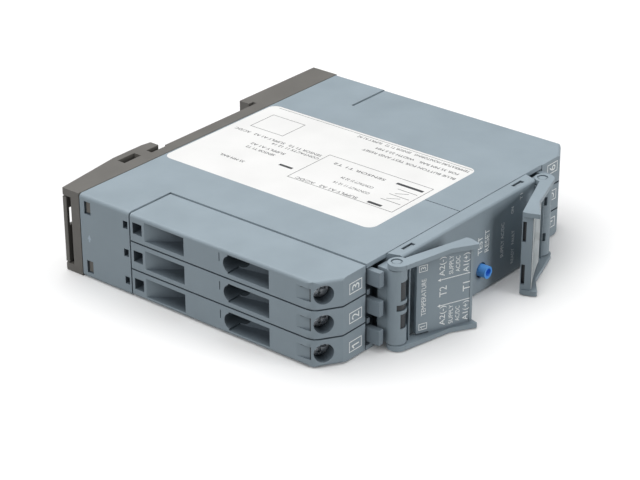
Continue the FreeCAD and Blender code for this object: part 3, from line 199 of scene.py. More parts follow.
def drifting(name, light, dark, drift, grain, gloss, settings, depth=0.02, painted_shade=None):
    """Material between two tones, with its drift, grain and depth of grain in mm and its roughness range.

    The settings go to the shader. Where a shade colour is given, hollows turn towards it: painted shade,
    darker where less light would reach."""
    material = bpy.data.materials.new(name)
    material.use_nodes = True
    tree = material.node_tree
    shader = tree.nodes["Principled BSDF"]
    for socket, value in settings.items():
        shader.inputs[socket].default_value = value
    place = add(tree, "ShaderNodeTexCoord", {}).outputs["Object"]
    cloud = add(tree, "ShaderNodeTexNoise", {"Scale": 1 / (drift * MM), "Detail": CLOUD_DETAIL},
                {"Vector": place}).outputs["Fac"]
    tone = add(tree, "ShaderNodeValToRGB", {"stops": zip(CLOUD_RANGE, (dark, light))}, {"Fac": cloud})
    shine = add(tree, "ShaderNodeMapRange", {"From Min": CLOUD_RANGE[0], "From Max": CLOUD_RANGE[1],
                                             "To Min": gloss[0], "To Max": gloss[1]}, {"Value": cloud})
    bumps = add(tree, "ShaderNodeTexNoise", {"Scale": 1 / (grain * MM), "Detail": GRAIN_DETAIL},
                {"Vector": place})
    relief = add(tree, "ShaderNodeBump", {"Strength": GRAIN_STRENGTH, "Distance": depth * MM},
                 {"Height": bumps.outputs["Fac"]})
    colour = tone.outputs["Color"]
    # Painted shade: the more a point is shut in by its own piece, the more its colour turns to the shade
    # colour.
    if painted_shade:
        hollow = add(tree, "ShaderNodeAmbientOcclusion",
                     {"Distance": HOLLOW_REACH * MM, "samples": HOLLOW_SAMPLES, "only_local": True})
        open_part = add(tree, "ShaderNodeMapRange",
                        {"From Min": HOLLOW_RANGE[0], "From Max": HOLLOW_RANGE[1]},
                        {"Value": hollow.outputs["AO"]})
        colour = add(tree, "ShaderNodeMix", {"data_type": "RGBA", "A": linear(painted_shade)},
                     {"Factor": open_part.outputs["Result"], "B": colour}).outputs["Result"]
    tree.links.new(colour, shader.inputs["Base Color"])
    tree.links.new(shine.outputs["Result"], shader.inputs["Roughness"])
    tree.links.new(relief.outputs["Normal"], shader.inputs["Normal"])
    return material


# %% [markdown]
# The mouldings are glass-filled polyamide with a spark-eroded grain: a matt skin with a faint
# cloudiness. The grain of about 0.1 mm is drawn at 0.4 mm, which still shows. Each recipe gives the
# light and the dark tone, the drift, the grain and the range of roughness.

# %% Moulded finishes
PLASTIC = {"IOR": 1.5}
finishes = {
    # Housing, cap, flaps and terminal blocks, with painted shade in their hollows.
    "moulded_grey_blue": drifting("polyamide_grey_blue_moulded", "#919FA8", "#8A98A1", 9, 0.4,
                                  (0.5, 0.6), PLASTIC, painted_shade="#56616A"),
    # Foot and latch.
    "moulded_brown_grey": drifting("polyamide_brown_grey_moulded", "#696763", "#605E5A", 7, 0.4,
                                   (0.48, 0.6), PLASTIC),
    # Polished polyamide: the button is a strong blue with a soft shine on its rim.
    "button_blue": drifting("polyamide_blue_polished", "#68B2FF", "#5EA8FA", 2, 0.3, (0.28, 0.38), PLASTIC),
    # Thermoplastic relay and socket cases: black, half glossy.
    "black_plastic": drifting("polyester_black_moulded", "#262B30", "#1D2226", 5, 0.4, (0.4, 0.5), PLASTIC),
}
# The release combs are the same polyamide in a darker copy: painted shade on the combs, and painted shade in
# their hollows as well.
comb_plastic_painted_shade = drifting("polyamide_grey_blue_painted_shade", "#7C8992", "#75828B", 9, 0.4, (0.5, 0.6), PLASTIC,
                        painted_shade="#49535B")
print("finishes:", ", ".join(material.name for material in finishes.values()))

# %% [markdown]
# Zinc plating is a cool grey metal with cloudy patches where the bath left more or less shine.
# Tinned brass is whiter and softer. Their patches are a millimetre or two across, so the same build-up
# serves with a short drift and a wide range of roughness.

# %% Plated metals
METAL = {"Metallic": 1.0}
finishes["zinc_steel"] = drifting("steel_zinc_plated", "#C4C8CC", "#A3A8AD", 1.5, 0.25, (0.22, 0.4), METAL)
finishes["tinned_brass"] = drifting("brass_tinned", "#D2D0CA", "#B9B6AE", 1.2, 0.25, (0.3, 0.45), METAL)
print("finishes: zinc plated steel, tinned brass")

# %% [markdown]
# The boards are glass laminate under green solder mask, in which the weave shows as a fine check.
# The components keep the colours that they usually have: grey ferrite, yellow tape, a dark printed
# sleeve, a yellow polyester case, blue lacquer. They are seen only when a terminal block is pulled or
# a cover is off.

# %% Boards and components
WEAVE = 0.6
finishes["ferrite"] = drifting("ferrite_sintered", "#4A4A4C", "#38383A", 1.0, 0.3, (0.6, 0.75), {"IOR": 1.8})
finishes["winding_tape"] = drifting("polyester_tape_yellow", "#D9B64A", "#C7A23A", 4, 0.8, (0.25, 0.35),
                                    PLASTIC)
finishes["capacitor_sleeve"] = drifting("vinyl_sleeve_dark", "#2B3350", "#232A44", 6, 0.5, (0.25, 0.35),
                                        PLASTIC)
finishes["capacitor_case"] = drifting("polyester_case_yellow", "#C9A23C", "#BC9434", 4, 0.4, (0.35, 0.45),
                                      PLASTIC)
finishes["varistor_lacquer"] = drifting("epoxy_lacquer_blue", "#3A63A0", "#2F558E", 2, 0.6, (0.2, 0.32),
                                        PLASTIC, depth=0.05)
laminate = drifting("glass_laminate_green", "#2F6B45", "#275C3A", 6, 0.5, (0.3, 0.4), PLASTIC)
tree = laminate.node_tree
weave = add(tree, "ShaderNodeTexChecker", {"Scale": 1 / (WEAVE * MM), "Color1": linear("#2F6B45"),
                                           "Color2": linear("#2A6240")},
            {"Vector": tree.nodes["Texture Coordinate"].outputs["Object"]})
tree.links.new(weave.outputs["Color"], tree.nodes["Principled BSDF"].inputs["Base Color"])
finishes["board_laminate"] = laminate
print("finishes: laminate with its weave, and five component finishes")

# %% [markdown]
# The light guides are clear acrylic with a polished end. The lamps behind them are milky resin.
# The label is white polyester film, and the ink on it is a thin matt layer.

# %% Clear and printed finishes
finishes["clear_acrylic"] = drifting("acrylic_clear_polished", "#FFFFFF", "#F4F8F8", 3, 0.5, (0.03, 0.08),
                                     {"IOR": 1.49, "Transmission Weight": 1.0}, depth=0.005)
finishes["lamp_resin"] = drifting("epoxy_milky", "#E4E6DA", "#D4D8C8", 1.5, 0.4, (0.25, 0.35),
                                  {"IOR": 1.54, "Transmission Weight": 0.4})
finishes["printed_film"] = drifting("polyester_film_white", "#EAEAE9", "#E5E5E4", 12, 0.8, (0.35, 0.45),
                                    PLASTIC, depth=0.01)
# Blank film over the lower flap, smooth as glass, with faint ripples. Its near-white tone is partly painted
# reflection: the clear film over the grey plate is drawn as pale as the white room it mirrors.
film_painted_reflection = drifting("polyester_film_glossy_painted_reflection", "#F0F5F5", "#E6ECEC", 3, 1.5, (0.06, 0.16), PLASTIC,
                       depth=0.03)
# Screen-printing inks, all equally matt.
INK_GLOSS = (0.55, 0.7)
white_ink = drifting("ink_white_matt", "#FAFCFC", "#EEF2F2", 1.0, 0.3, INK_GLOSS, PLASTIC)
black_ink = drifting("ink_black_matt", "#3C3F42", "#2E3134", 1.0, 0.3, INK_GLOSS, PLASTIC)
pale_ink = drifting("ink_pale_blue_matt", "#B4C3CE", "#A6B6C2", 1.0, 0.3, INK_GLOSS, PLASTIC)
for name, node in nodes.items():
    node.data.materials.clear()
    node.data.materials.append(finishes[slot_of[name]])
print("every CAD node has the finish of its slot")

# %% [markdown]
# The terminal blocks have one larger radius, where the end turns into the slanted screw face. A bevel
# would stop at the screw bore there, so the corner is cut away by a tool in the shape of a ring sector
# that is tangent to both faces: a piece of a circle, widened outwards and drawn up.

# %% Corner tool
# Radius, the point where the two faces would meet, and the slanted face's outward direction.
CORNER_ROUND = 3.5
CORNER_AT = (50, -37.3)
SLANT_NORMAL = Vector((0.5325, -0.8465))
RING_STEPS = 144
RING_WIDENING = 1.5
TOOL_BELOW = 1
TOOL_TALL = 25
# Slack in picking the sector's corners, as a share of the radius.
MARGIN = 0.01


def pick(piece, wanted):
    """Enters edit mode with only those corners selected whose place passes a test."""
    bpy.ops.object.mode_set(mode="EDIT")
    bpy.ops.mesh.select_mode(type="VERT")
    bpy.ops.mesh.select_all(action="DESELECT")
    bpy.ops.object.mode_set(mode="OBJECT")
    for corner in piece.data.vertices:
        corner.select = wanted(corner.co)
    bpy.ops.object.mode_set(mode="EDIT")


def faces_outwards():
    """Turns every face of the mesh in edit mode outwards and leaves edit mode."""
    bpy.ops.mesh.select_all(action="SELECT")
    bpy.ops.mesh.normals_make_consistent(inside=False)
    bpy.ops.object.mode_set(mode="OBJECT")


def corner_tool(side):
    """Ring sector that stands outside the corner of the block at one end, -1 or 1."""
    reach = CORNER_ROUND * MM
    slant = math.acos(SLANT_NORMAL.x)
    middle = Vector((side * (CORNER_AT[0] - CORNER_ROUND),
                     CORNER_AT[1] + CORNER_ROUND * math.tan(slant / 2), -TOOL_BELOW)) * MM
    bpy.ops.object.select_all(action="DESELECT")
    bpy.ops.mesh.primitive_circle_add(vertices=RING_STEPS, radius=reach, location=middle)
    tool = bpy.context.object
    pick(tool, lambda place: place.y > MARGIN * reach or side * place.x < (SLANT_NORMAL.x - MARGIN) * reach)
    bpy.ops.mesh.delete(type="VERT")
    bpy.ops.mesh.select_all(action="SELECT")
    bpy.ops.mesh.extrude_region_move(TRANSFORM_OT_translate={"value": (0, 0, 0)})
    bpy.ops.transform.resize(value=(RING_WIDENING, RING_WIDENING, 1), center_override=middle)
    bpy.ops.mesh.select_all(action="SELECT")
    bpy.ops.mesh.extrude_region_move(TRANSFORM_OT_translate={"value": (0, 0, TOOL_TALL * MM)})
    faces_outwards()
    bpy.ops.object.transform_apply(location=True, rotation=True, scale=True)
    return tool


corner_tools = {"upper_terminal_block": corner_tool(-1), "lower_terminal_block": corner_tool(1)}
print("corner tools:", [len(tool.data.polygons) for tool in corner_tools.values()], "faces")

# %% [markdown]
# No moulding has a knife edge: the mould leaves a small radius, and the light on it draws every
# outline. The CAD mesh is loose triangles that must stay as they are, so each moulding is copied, its
# triangles are merged into whole faces, the sharp edges are bevelled and the curves are shaded smooth.
# Edges of very small steps, such as the label's recess, are left alone, because a bevel as wide as the
# step would fold over. Faces of the terminal blocks with more than four corners are flat walls with
# holes in them; they are shaded flat, so that the light on them stays even round the bores.

# %% Softened mouldings
# Radius of the edges in mm.
EDGE_ROUND = {"housing": 0.12, "front_cap": 0.1, "upper_flap": 0.15, "lower_flap": 0.15,
              "upper_terminal_block": 0.12, "lower_terminal_block": 0.12, "upper_release_comb": 0.15,
              "lower_release_comb": 0.15, "rail_base": 0.18, "rail_latch": 0.15, "test_button": 0.12}
SMALLEST_EDGE = 1.2
SAME_PLACE = 0.001
SAME_PLANE = math.radians(1)
SHARP = math.radians(30)


def alone(piece):
    """Selects one piece and nothing else."""
    bpy.ops.object.select_all(action="DESELECT")
    piece.select_set(True)
    bpy.context.view_layer.objects.active = piece


def softened(name, radius, smallest_edge=SMALLEST_EDGE):
    """Copy of a CAD node with bevelled edges and smooth curves, in the node's place."""
    piece = nodes[name].copy()
    piece.data = nodes[name].data.copy()
    piece.name = name + "_softened"
    bpy.context.scene.collection.objects.link(piece)
    alone(piece)
    bpy.ops.object.mode_set(mode="EDIT")
    bpy.ops.mesh.select_all(action="SELECT")
    bpy.ops.mesh.remove_doubles(threshold=SAME_PLACE * MM)
    bpy.ops.mesh.dissolve_limited(angle_limit=SAME_PLANE)
    bpy.ops.object.mode_set(mode="OBJECT")
    if name in corner_tools:
        rounding = piece.modifiers.new("corner", "BOOLEAN")
        rounding.object = corner_tools[name]
        bpy.ops.object.modifier_apply(modifier=rounding.name)
    bpy.ops.object.mode_set(mode="EDIT")
    bpy.ops.mesh.select_mode(type="EDGE")
    bpy.ops.mesh.select_all(action="DESELECT")
    bpy.ops.mesh.edges_select_sharp(sharpness=SHARP)
    bpy.ops.object.mode_set(mode="OBJECT")
    corners = piece.data.vertices
    for edge in piece.data.edges:
        ends = [corners[index].co for index in edge.vertices]
        if (ends[0] - ends[1]).length < smallest_edge * MM:
            edge.select = False
    bpy.ops.object.mode_set(mode="EDIT")
    bpy.ops.mesh.bevel(offset=radius * MM, segments=2, affect="EDGES", clamp_overlap=True)
    bpy.ops.object.mode_set(mode="OBJECT")
    bpy.ops.object.shade_smooth_by_angle(angle=SHARP)
    if name in corner_tools:
        for face in piece.data.polygons:
            face.use_smooth = face.loop_total == 4
    even = piece.modifiers.new("even_shading", "WEIGHTED_NORMAL")
    even.keep_sharp = True
    bpy.ops.object.modifier_apply(modifier=even.name)
    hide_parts(name)
    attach(piece, body_of[name])
    return piece


for name, radius in EDGE_ROUND.items():
    piece = softened(name, radius)
    print(piece.name, len(piece.data.polygons), "faces")
for tool in corner_tools.values():
    bpy.data.objects.remove(tool)
# The combs take the darker copy of the polyamide: painted shade.
for name in ("upper_release_comb", "lower_release_comb"):
    bpy.data.objects[name + "_softened"].data.materials[0] = comb_plastic_painted_shade

# %% [markdown]
# The clamp screws, clamps and contact bars are turned, stamped and plated, so their corners are broken
# too, though less than those of a moulding. They get the same treatment with a finer radius.

# %% Softened metal
METAL_ROUND = 0.06
SMALLEST_FINE_EDGE = 0.4
metal_names = [f"{kind}_{pole}" for kind in ("clamp_screw", "clamp_cage", "contact_bar")
               for pole in range(1, 7)]
for name in metal_names:
    softened(name, METAL_ROUND, SMALLEST_FINE_EDGE)
print("metal:", len(metal_names), "plated pieces with broken corners")

# %% [markdown]
# Behind the covers sit the boards and their components. Moulded cases, cores and tape have corners a
# tenth of a millimetre round, pins and lamps half of that. They show when a terminal block is pulled.

# %% Softened inside parts
CASE_ROUND = 0.1
SMALL_ROUND = 0.05
cases = ["output_relay", "transformer_core", "transformer_winding", "bulk_capacitor", "filter_capacitor",
         "varistor", "control_chip", "test_switch"]
small_parts = ["upper_plug_header", "lower_plug_header", "upper_plug_pins", "lower_plug_pins", "main_board",
               "front_board", "switch_plunger", "ready_lamp", "trip_lamp", "ready_light_guide",
               "trip_light_guide"]
for names, radius in ((cases, CASE_ROUND), (small_parts, SMALL_ROUND)):
    for name in names:
        softened(name, radius, SMALLEST_FINE_EDGE)
print("inside:", len(cases), "cases and", len(small_parts), "small parts with round corners")

# %% [markdown]
# The latch spring is a coil of drawn wire. A circle of the wire's size stands beside the coil's axis,
# and a Screw modifier carries it round and along, which keeps every turn smooth. Its two cut ends are
# filled.

# %% Latch spring
WIRE_RADIUS = 0.2
WIRE_SIDES = 12
COIL_RADIUS = 1.05
COIL_TURNS = 5
STEPS_A_TURN = 28
spring_low, spring_high = (Vector(corner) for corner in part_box("latch_spring"))
coil_start = Vector((spring_low.x + WIRE_RADIUS * MM, (spring_low.y + spring_high.y) / 2,
                     (spring_low.z + spring_high.z) / 2))
bpy.ops.object.select_all(action="DESELECT")
bpy.ops.mesh.primitive_circle_add(vertices=WIRE_SIDES, radius=WIRE_RADIUS * MM, location=coil_start)
spring = bpy.context.object
spring.name = "latch_spring_coil"
bpy.ops.object.mode_set(mode="EDIT")
bpy.ops.transform.translate(value=(0, COIL_RADIUS * MM, 0))
bpy.ops.object.mode_set(mode="OBJECT")
winding = spring.modifiers.new("winding", "SCREW")
winding.axis = "X"
winding.steps = STEPS_A_TURN
winding.render_steps = STEPS_A_TURN
winding.iterations = COIL_TURNS
winding.screw_offset = (spring_high.x - spring_low.x - 2 * WIRE_RADIUS * MM) / COIL_TURNS
bpy.ops.object.modifier_apply(modifier=winding.name)
bpy.ops.object.mode_set(mode="EDIT")
bpy.ops.mesh.select_mode(type="EDGE")
bpy.ops.mesh.select_all(action="DESELECT")
bpy.ops.mesh.select_non_manifold()
bpy.ops.mesh.edge_face_add()
faces_outwards()
bpy.ops.object.shade_smooth_by_angle(angle=SHARP)
bpy.ops.object.transform_apply(location=True, rotation=True, scale=True)
spring.data.materials.append(finishes[slot_of["latch_spring"]])
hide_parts("latch_spring")
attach(spring, body_of["latch_spring"])
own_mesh(spring)
print("latch spring:", COIL_TURNS, "turns on", round((spring_high.x - spring_low.x) / MM, 1), "mm")

# %% [markdown]
# The side label is a film with round corners that lies in a recess. A plane with its corners rounded is
# drawn up to the film's thickness, which gives it a true edge. It stays a little lower than the recess
# is deep, so that this edge catches the light and the ink still stays below the housing's face.

# %% Label film
FILM_THICK = 0.07
FILM_CORNER = 2.5
FILM_CORNER_STEPS = 10
label_low, label_high = (Vector(corner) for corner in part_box("side_label"))
bpy.ops.object.select_all(action="DESELECT")
bpy.ops.mesh.primitive_plane_add(size=1, location=((label_low.x + label_high.x) / 2,
                                                   (label_low.y + label_high.y) / 2, label_low.z))
film = bpy.context.object
film.name = "side_label_film"
film.scale = (label_high.x - label_low.x, label_high.y - label_low.y, 1)
bpy.ops.object.transform_apply(location=True, rotation=True, scale=True)
bpy.ops.object.mode_set(mode="EDIT")
bpy.ops.mesh.bevel(offset=FILM_CORNER * MM, segments=FILM_CORNER_STEPS, affect="VERTICES")
bpy.ops.mesh.select_all(action="SELECT")
bpy.ops.mesh.extrude_region_move(TRANSFORM_OT_translate={"value": (0, 0, FILM_THICK * MM)})
faces_outwards()
film.data.materials.append(finishes["printed_film"])
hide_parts("side_label")
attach(film, body_of["side_label"])
print("label film:", [round(side / MM, 2) for side in film.dimensions], "mm")

# %% [markdown]
# Pieces on a flap are easiest to place in the flap's own directions: along its reach from the hinge to
# the free end, and out of its face. The small helpers here serve every piece that is added to the CAD
# model: they place it, copy it, join it to others and give it its name, finish and body.

# %% Helpers for added pieces
# Side of each flap and the angle at which it stands ajar, in degrees.
FLAPS = {"upper": (-1, 15), "lower": (1, 21.5)}
HINGE_AT = (29.6, -45.4)
BAR_ROUND = 0.06


def flap_axes(flap):
    """Hinge, reach and outward direction of a flap, in mm."""
    side, degrees = FLAPS[flap]
    turn = math.radians(degrees)
    return (Vector((side * HINGE_AT[0], HINGE_AT[1], 0)),
            Vector((-side * math.cos(turn), -math.sin(turn), 0)),
            Vector((side * math.sin(turn), -math.cos(turn), 0)))


def placed(piece, middle, along, across):
    """Turns a piece's X and Y to two directions, puts it at a place in mm and applies that."""
    axes = Matrix((along, across, along.cross(across))).transposed().to_4x4()
    piece.matrix_world = Matrix.Translation(middle * MM) @ axes @ piece.matrix_world
    alone(piece)
    bpy.ops.object.transform_apply(location=True, rotation=True, scale=True)
    return piece


def twin(piece):
    """Second piece like the first, with a mesh of its own."""
    other = piece.copy()
    other.data = piece.data.copy()
    bpy.context.scene.collection.objects.link(other)
    return other


def joined(pieces):
    """One piece out of several."""
    alone(pieces[0])
    for piece in pieces:
        piece.select_set(True)
    bpy.ops.object.join()
    return pieces[0]


def finished(piece, name, slot, body):
    """Names a piece and gives it the finish of a slot and the body that it moves with."""
    bpy.ops.object.shade_smooth_by_angle(angle=SHARP)
    piece.name = name
    piece.data.materials.clear()
    piece.data.materials.append(finishes[slot])
    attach(piece, body)
    print(name, len(piece.data.polygons), "faces")


def broken_bar(sides):
    """Bar with broken edges at the origin, sides in mm."""
    bpy.ops.object.select_all(action="DESELECT")
    bpy.ops.mesh.primitive_cube_add(size=1)
    piece = bpy.context.object
    piece.scale = Vector(sides) * MM
    bpy.ops.object.transform_apply(location=True, rotation=True, scale=True)
    bpy.ops.object.mode_set(mode="EDIT")
    bpy.ops.mesh.bevel(offset=BAR_ROUND * MM, segments=2, affect="EDGES")
    bpy.ops.object.mode_set(mode="OBJECT")
    return piece


# %% [markdown]
# Two ribs run across each flap between its cheeks: a black one behind the slots of the end wall, which
# is painted shade that keeps the slots dark, and a lip of the flap's own plastic that stands beside the
# hinge column. Each is a bar with its edges broken.

# %% Ribs of the flaps
# Lowest and highest Z between a flap's cheeks, in mm.
FLAP_INSIDE = (1.35, 21.15)
# From and to along the reach, from and to out of the face, in mm, and the slot of the finish.
# The black slot rib is painted shade.
RIBS = {"slot_rib": ((19.5, 20.0), (-0.15, 1.35), "black_plastic"),
        "hinge_lip": ((2.75, 3.1), (0.08, 1.25), "moulded_grey_blue")}
for flap in FLAPS:
    hinge, reach, outward = flap_axes(flap)
    for name, (along, across, slot) in RIBS.items():
        rib = broken_bar([high - low for low, high in (along, across, FLAP_INSIDE)])
        middle = [sum(ends) / 2 for ends in (along, across, FLAP_INSIDE)]
        placed(rib, hinge + middle[0] * reach + middle[1] * outward + Vector((0, 0, middle[2])),
               reach, outward)
        finished(rib, f"{flap}_flap_{name}", slot, f"{flap}_flap")

# %% [markdown]
# Beside each screw a shallow patch slopes into the end of the block. Its deep edge and its upper edge
# lie in the shade of the patch's walls, and that shade is painted: two thin black bars with broken
# edges, laid into the patch. They are modelled once and copied for the other poles.

# %% Painted shade beside the screws
POLE_LEVELS = (3.75, 11.25, 18.75)
PATCH_SLOPE = Vector((-0.8, 4.1, 0)).normalized()
PATCH_NORMAL = Vector((-PATCH_SLOPE.y, PATCH_SLOPE.x, 0))
# Bar, its middle from the pole's level in mm, and the directions of its first two sides.
# Black bars that are painted shade along two edges of each patch.
PAINTED_SHADE_BARS = [(broken_bar((0.5, 0.45, 3.3)), Vector((-49.4, -36.375, 0)), Vector((1, 0, 0)), Vector((0, 1, 0))),
        (broken_bar((3.0, 0.3, 0.22)), Vector((-49.52, -35.1, 1.54)), PATCH_SLOPE, PATCH_NORMAL)]
for side, mirror in (("upper", Vector((1, 1, 1))), ("lower", Vector((-1, 1, 1)))):
    bars = joined([placed(twin(shade_bar), middle * mirror + Vector((0, 0, level)), along * mirror, across * mirror)
                   for shade_bar, middle, along, across in PAINTED_SHADE_BARS for level in POLE_LEVELS])
    bpy.ops.object.mode_set(mode="EDIT")
    faces_outwards()
    finished(bars, f"{side}_terminal_painted_shade", "black_plastic", f"{side}_terminal")
for shade_bar, *place in PAINTED_SHADE_BARS:
    bpy.data.objects.remove(shade_bar)

# %% [markdown]
# The slots of the hinge columns look into the dark, so a black core stands in each column as painted
# shade. In the lower column the slots are closed but for two small windows. The closing sleeve is a
# cylinder a hair thinner than the column, out of which two window blocks are cut.

# %% Hinge columns
# Ends of the posts in Z, their radii, and the windows: from and to in Z, then sides and middle.
COLUMN_Z = (5.7, 18.0)
UPPER_SHADE_CORE, LOWER_SHADE_CORE, SLEEVE = 2.2, 1.7, 2.47
POST_SIDES = 64
POST_RIM = 0.05
WINDOWS = ((5.8, 8.0), (15.6, 17.9))
WINDOW_SIDES = (2.4, 3.0)
WINDOW_AT = (27.5, -47.6)


def post(x, radius):
    """Upright cylinder with a broken rim that fills a hinge column's slots."""
    bpy.ops.object.select_all(action="DESELECT")
    bpy.ops.mesh.primitive_cylinder_add(vertices=POST_SIDES, radius=radius * MM,
                                        depth=(COLUMN_Z[1] - COLUMN_Z[0]) * MM,
                                        location=Vector((x, HINGE_AT[1], sum(COLUMN_Z) / 2)) * MM)
    piece = bpy.context.object
    bpy.ops.object.transform_apply(location=True, rotation=True, scale=True)
    bpy.ops.object.mode_set(mode="EDIT")
    bpy.ops.mesh.select_all(action="DESELECT")
    bpy.ops.mesh.edges_select_sharp(sharpness=SHARP)
    bpy.ops.mesh.bevel(offset=POST_RIM * MM, segments=1, affect="EDGES")
    bpy.ops.object.mode_set(mode="OBJECT")
    return piece


# Black cores: painted shade behind the slots.
finished(post(-HINGE_AT[0], UPPER_SHADE_CORE), "upper_column_painted_shade", "black_plastic", "relay_body")
finished(post(HINGE_AT[0], LOWER_SHADE_CORE), "lower_column_painted_shade", "black_plastic", "relay_body")
sleeve = post(HINGE_AT[0], SLEEVE)
for low, high in WINDOWS:
    window = broken_bar((*WINDOW_SIDES, high - low))
    window.location = Vector((*WINDOW_AT, (low + high) / 2)) * MM
    alone(sleeve)
    cut = sleeve.modifiers.new("window", "BOOLEAN")
    cut.object = window
    bpy.ops.object.modifier_apply(modifier=cut.name)
    bpy.data.objects.remove(window)
finished(sleeve, "lower_column_sleeve", "moulded_grey_blue", "relay_body")

# %% [markdown]
# The lower flap has no print of its own. A blank strip of glossy film covers its plate, held at the
# free end and standing a little off the plate at the hinge; at a low angle it mirrors the white room.
# Its near-white colour adds a painted reflection of that room, so the strip is bright from any side.
# A plane gets rows across, the rows are bowed outwards, and a Solidify modifier gives the film its
# thickness.

# %% Film on the lower flap
STRIP_THICK = 0.12
STRIP_BOW = 0.25
STRIP_WIDE = 19.2
STRIP_ROWS = 11
# Ends of the strip along the reach and out of the flap's face, in mm.
STRIP_HINGE_END = (5.2, 0.9)
STRIP_FREE_END = (20.5, 2.5)
hinge, reach, outward = flap_axes("lower")
strip_start, strip_end = (hinge + along * reach + off * outward
                          for along, off in (STRIP_HINGE_END, STRIP_FREE_END))
strip_run = strip_end - strip_start
bpy.ops.object.select_all(action="DESELECT")
bpy.ops.mesh.primitive_plane_add(size=1)
strip = bpy.context.object
strip.name = "lower_flap_film"
strip.scale = (strip_run.length * MM, STRIP_WIDE * MM, 1)
bpy.ops.object.transform_apply(location=True, rotation=True, scale=True)
bpy.ops.object.mode_set(mode="EDIT")
bpy.ops.mesh.subdivide(number_cuts=STRIP_ROWS)
bpy.ops.object.mode_set(mode="OBJECT")
half_run = strip.dimensions.x / 2
for corner in strip.data.vertices:
    corner.co.z = STRIP_BOW * MM * (1 - (corner.co.x / half_run) ** 2)
film_wall = strip.modifiers.new("film", "SOLIDIFY")
film_wall.thickness = STRIP_THICK * MM
bpy.ops.object.modifier_apply(modifier=film_wall.name)
placed(strip, (strip_start + strip_end) / 2 + Vector((0, 0, sum(FLAP_INSIDE) / 2)),
       strip_run.normalized(), Vector((0, 0, 1)))
bpy.ops.object.shade_smooth_by_angle(angle=SHARP)
# Real gloss, plus a painted reflection in the film's pale colour.
strip.data.materials.append(film_painted_reflection)
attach(strip, "lower_flap")
print("film on the lower flap:", len(strip.data.polygons), "faces")

# %% [markdown]
# Printing leaves a thin even layer of ink. It could be painted with a texture, but as a low relief it
# stays sharp at any distance and has an edge of its own. Each mark is modelled flat at the origin and
# reads along X: letters are set as text and fitted to a size, while lines, frames and arrows are drawn
# out of a plate. Then the mark gets the thickness of the ink.

# %% Shapes of the marks
INK = 0.02
# The numeral 1, as shares of its height: stroke, shoulder in strokes, and the flag's run to the side
# and down. The other numerals have one width.
NUMERAL_WIDE = 0.58
STROKE = 0.13
SHOULDER = 1.4
FLAG_ACROSS, FLAG_DOWN = 0.26, 0.2


def raised(piece):
    """Gives the flat mesh of a mark the thickness of the ink."""
    bpy.ops.object.transform_apply(location=True, rotation=True, scale=True)
    bpy.ops.object.mode_set(mode="EDIT")
    bpy.ops.mesh.select_all(action="SELECT")
    bpy.ops.mesh.extrude_region_move(TRANSFORM_OT_translate={"value": (0, 0, INK * MM)})
    faces_outwards()
    return piece


def lettering(words, wide, tall):
    """Line of letters that fills a given width and height."""
    bpy.ops.object.select_all(action="DESELECT")
    bpy.ops.object.text_add()
    bpy.context.object.data.body = words
    bpy.context.object.data.resolution_u = 4
    bpy.ops.object.convert(target="MESH")
    piece = bpy.context.object
    bpy.ops.object.origin_set(type="ORIGIN_GEOMETRY", center="BOUNDS")
    piece.location = (0, 0, 0)
    piece.scale = (wide * MM / piece.dimensions.x, tall * MM / piece.dimensions.y, 1)
    return raised(piece)


def plate(wide, tall):
    """Flat rectangle, still without thickness."""
    bpy.ops.object.select_all(action="DESELECT")
    bpy.ops.mesh.primitive_plane_add(size=1)
    piece = bpy.context.object
    piece.scale = (wide * MM, tall * MM, 1)
    bpy.ops.object.transform_apply(location=True, rotation=True, scale=True)
    return piece


def bar(wide, tall):
    """Plain printed line or block."""
    return raised(plate(wide, tall))


def outline(wide, tall, line):
    """Printed rectangle of thin lines: a plate, inset by the line's width and opened."""
    piece = plate(wide, tall)
    bpy.ops.object.mode_set(mode="EDIT")
    bpy.ops.mesh.select_mode(type="FACE")
    bpy.ops.mesh.select_all(action="SELECT")
    bpy.ops.mesh.inset(thickness=line * MM)
    bpy.ops.mesh.delete(type="FACE")
    bpy.ops.object.mode_set(mode="OBJECT")
    return raised(piece)


def arrow(long, line, head):
    """Printed arrow that points up: a thin plate whose upper end is widened and drawn to a point."""
    piece = plate(line, long)
    pick(piece, lambda place: place.y > 0)
    bpy.ops.mesh.extrude_region_move(TRANSFORM_OT_translate={"value": (0, 0, 0)})
    bpy.ops.transform.resize(value=(head / line, 1, 1))
    bpy.ops.mesh.extrude_region_move(TRANSFORM_OT_translate={"value": (0, head * MM, 0)})
    bpy.ops.mesh.merge(type="CENTER")
    bpy.ops.object.mode_set(mode="OBJECT")
    return raised(piece)


def numeral(digit, tall):
    """Number of a given height. The font's 1 is a bare stroke, so that one gets a flag drawn out of it."""
    if digit != "1":
        return lettering(digit, NUMERAL_WIDE * tall, tall)
    stroke = STROKE * tall
    shoulder = (tall / 2 - SHOULDER * stroke) * MM
    piece = plate(stroke, tall)
    bpy.ops.object.mode_set(mode="EDIT")
    bpy.ops.mesh.select_all(action="SELECT")
    bpy.ops.mesh.bisect(plane_co=(0, shoulder, 0), plane_no=(0, 1, 0))
    pick(piece, lambda place: place.x < 0 and place.y > shoulder - SAME_PLACE * MM)
    bpy.ops.mesh.extrude_region_move(
        TRANSFORM_OT_translate={"value": (-FLAG_ACROSS * tall * MM, -FLAG_DOWN * tall * MM, 0)})
    bpy.ops.object.mode_set(mode="OBJECT")
    return raised(piece)


# %% [markdown]
# A surface that carries print is a starting point, the direction in which its print reads and the
# direction in which its letters stand, all in the frame's axes. A mark is stood on its surface by these
# three, and all the marks of one ink on one body become one piece.

# %% Surfaces that carry print
# Start of the flap's plate and its run, along the reach and out of the flap's face, in mm.
PLATE_START = (5.5, 0.6)
PLATE_RUN = (15.3, 1.8)
hinge, reach, outward = flap_axes("upper")
plate_start = hinge + PLATE_START[0] * reach + PLATE_START[1] * outward
plate_run = (PLATE_RUN[0] * reach + PLATE_RUN[1] * outward).normalized()
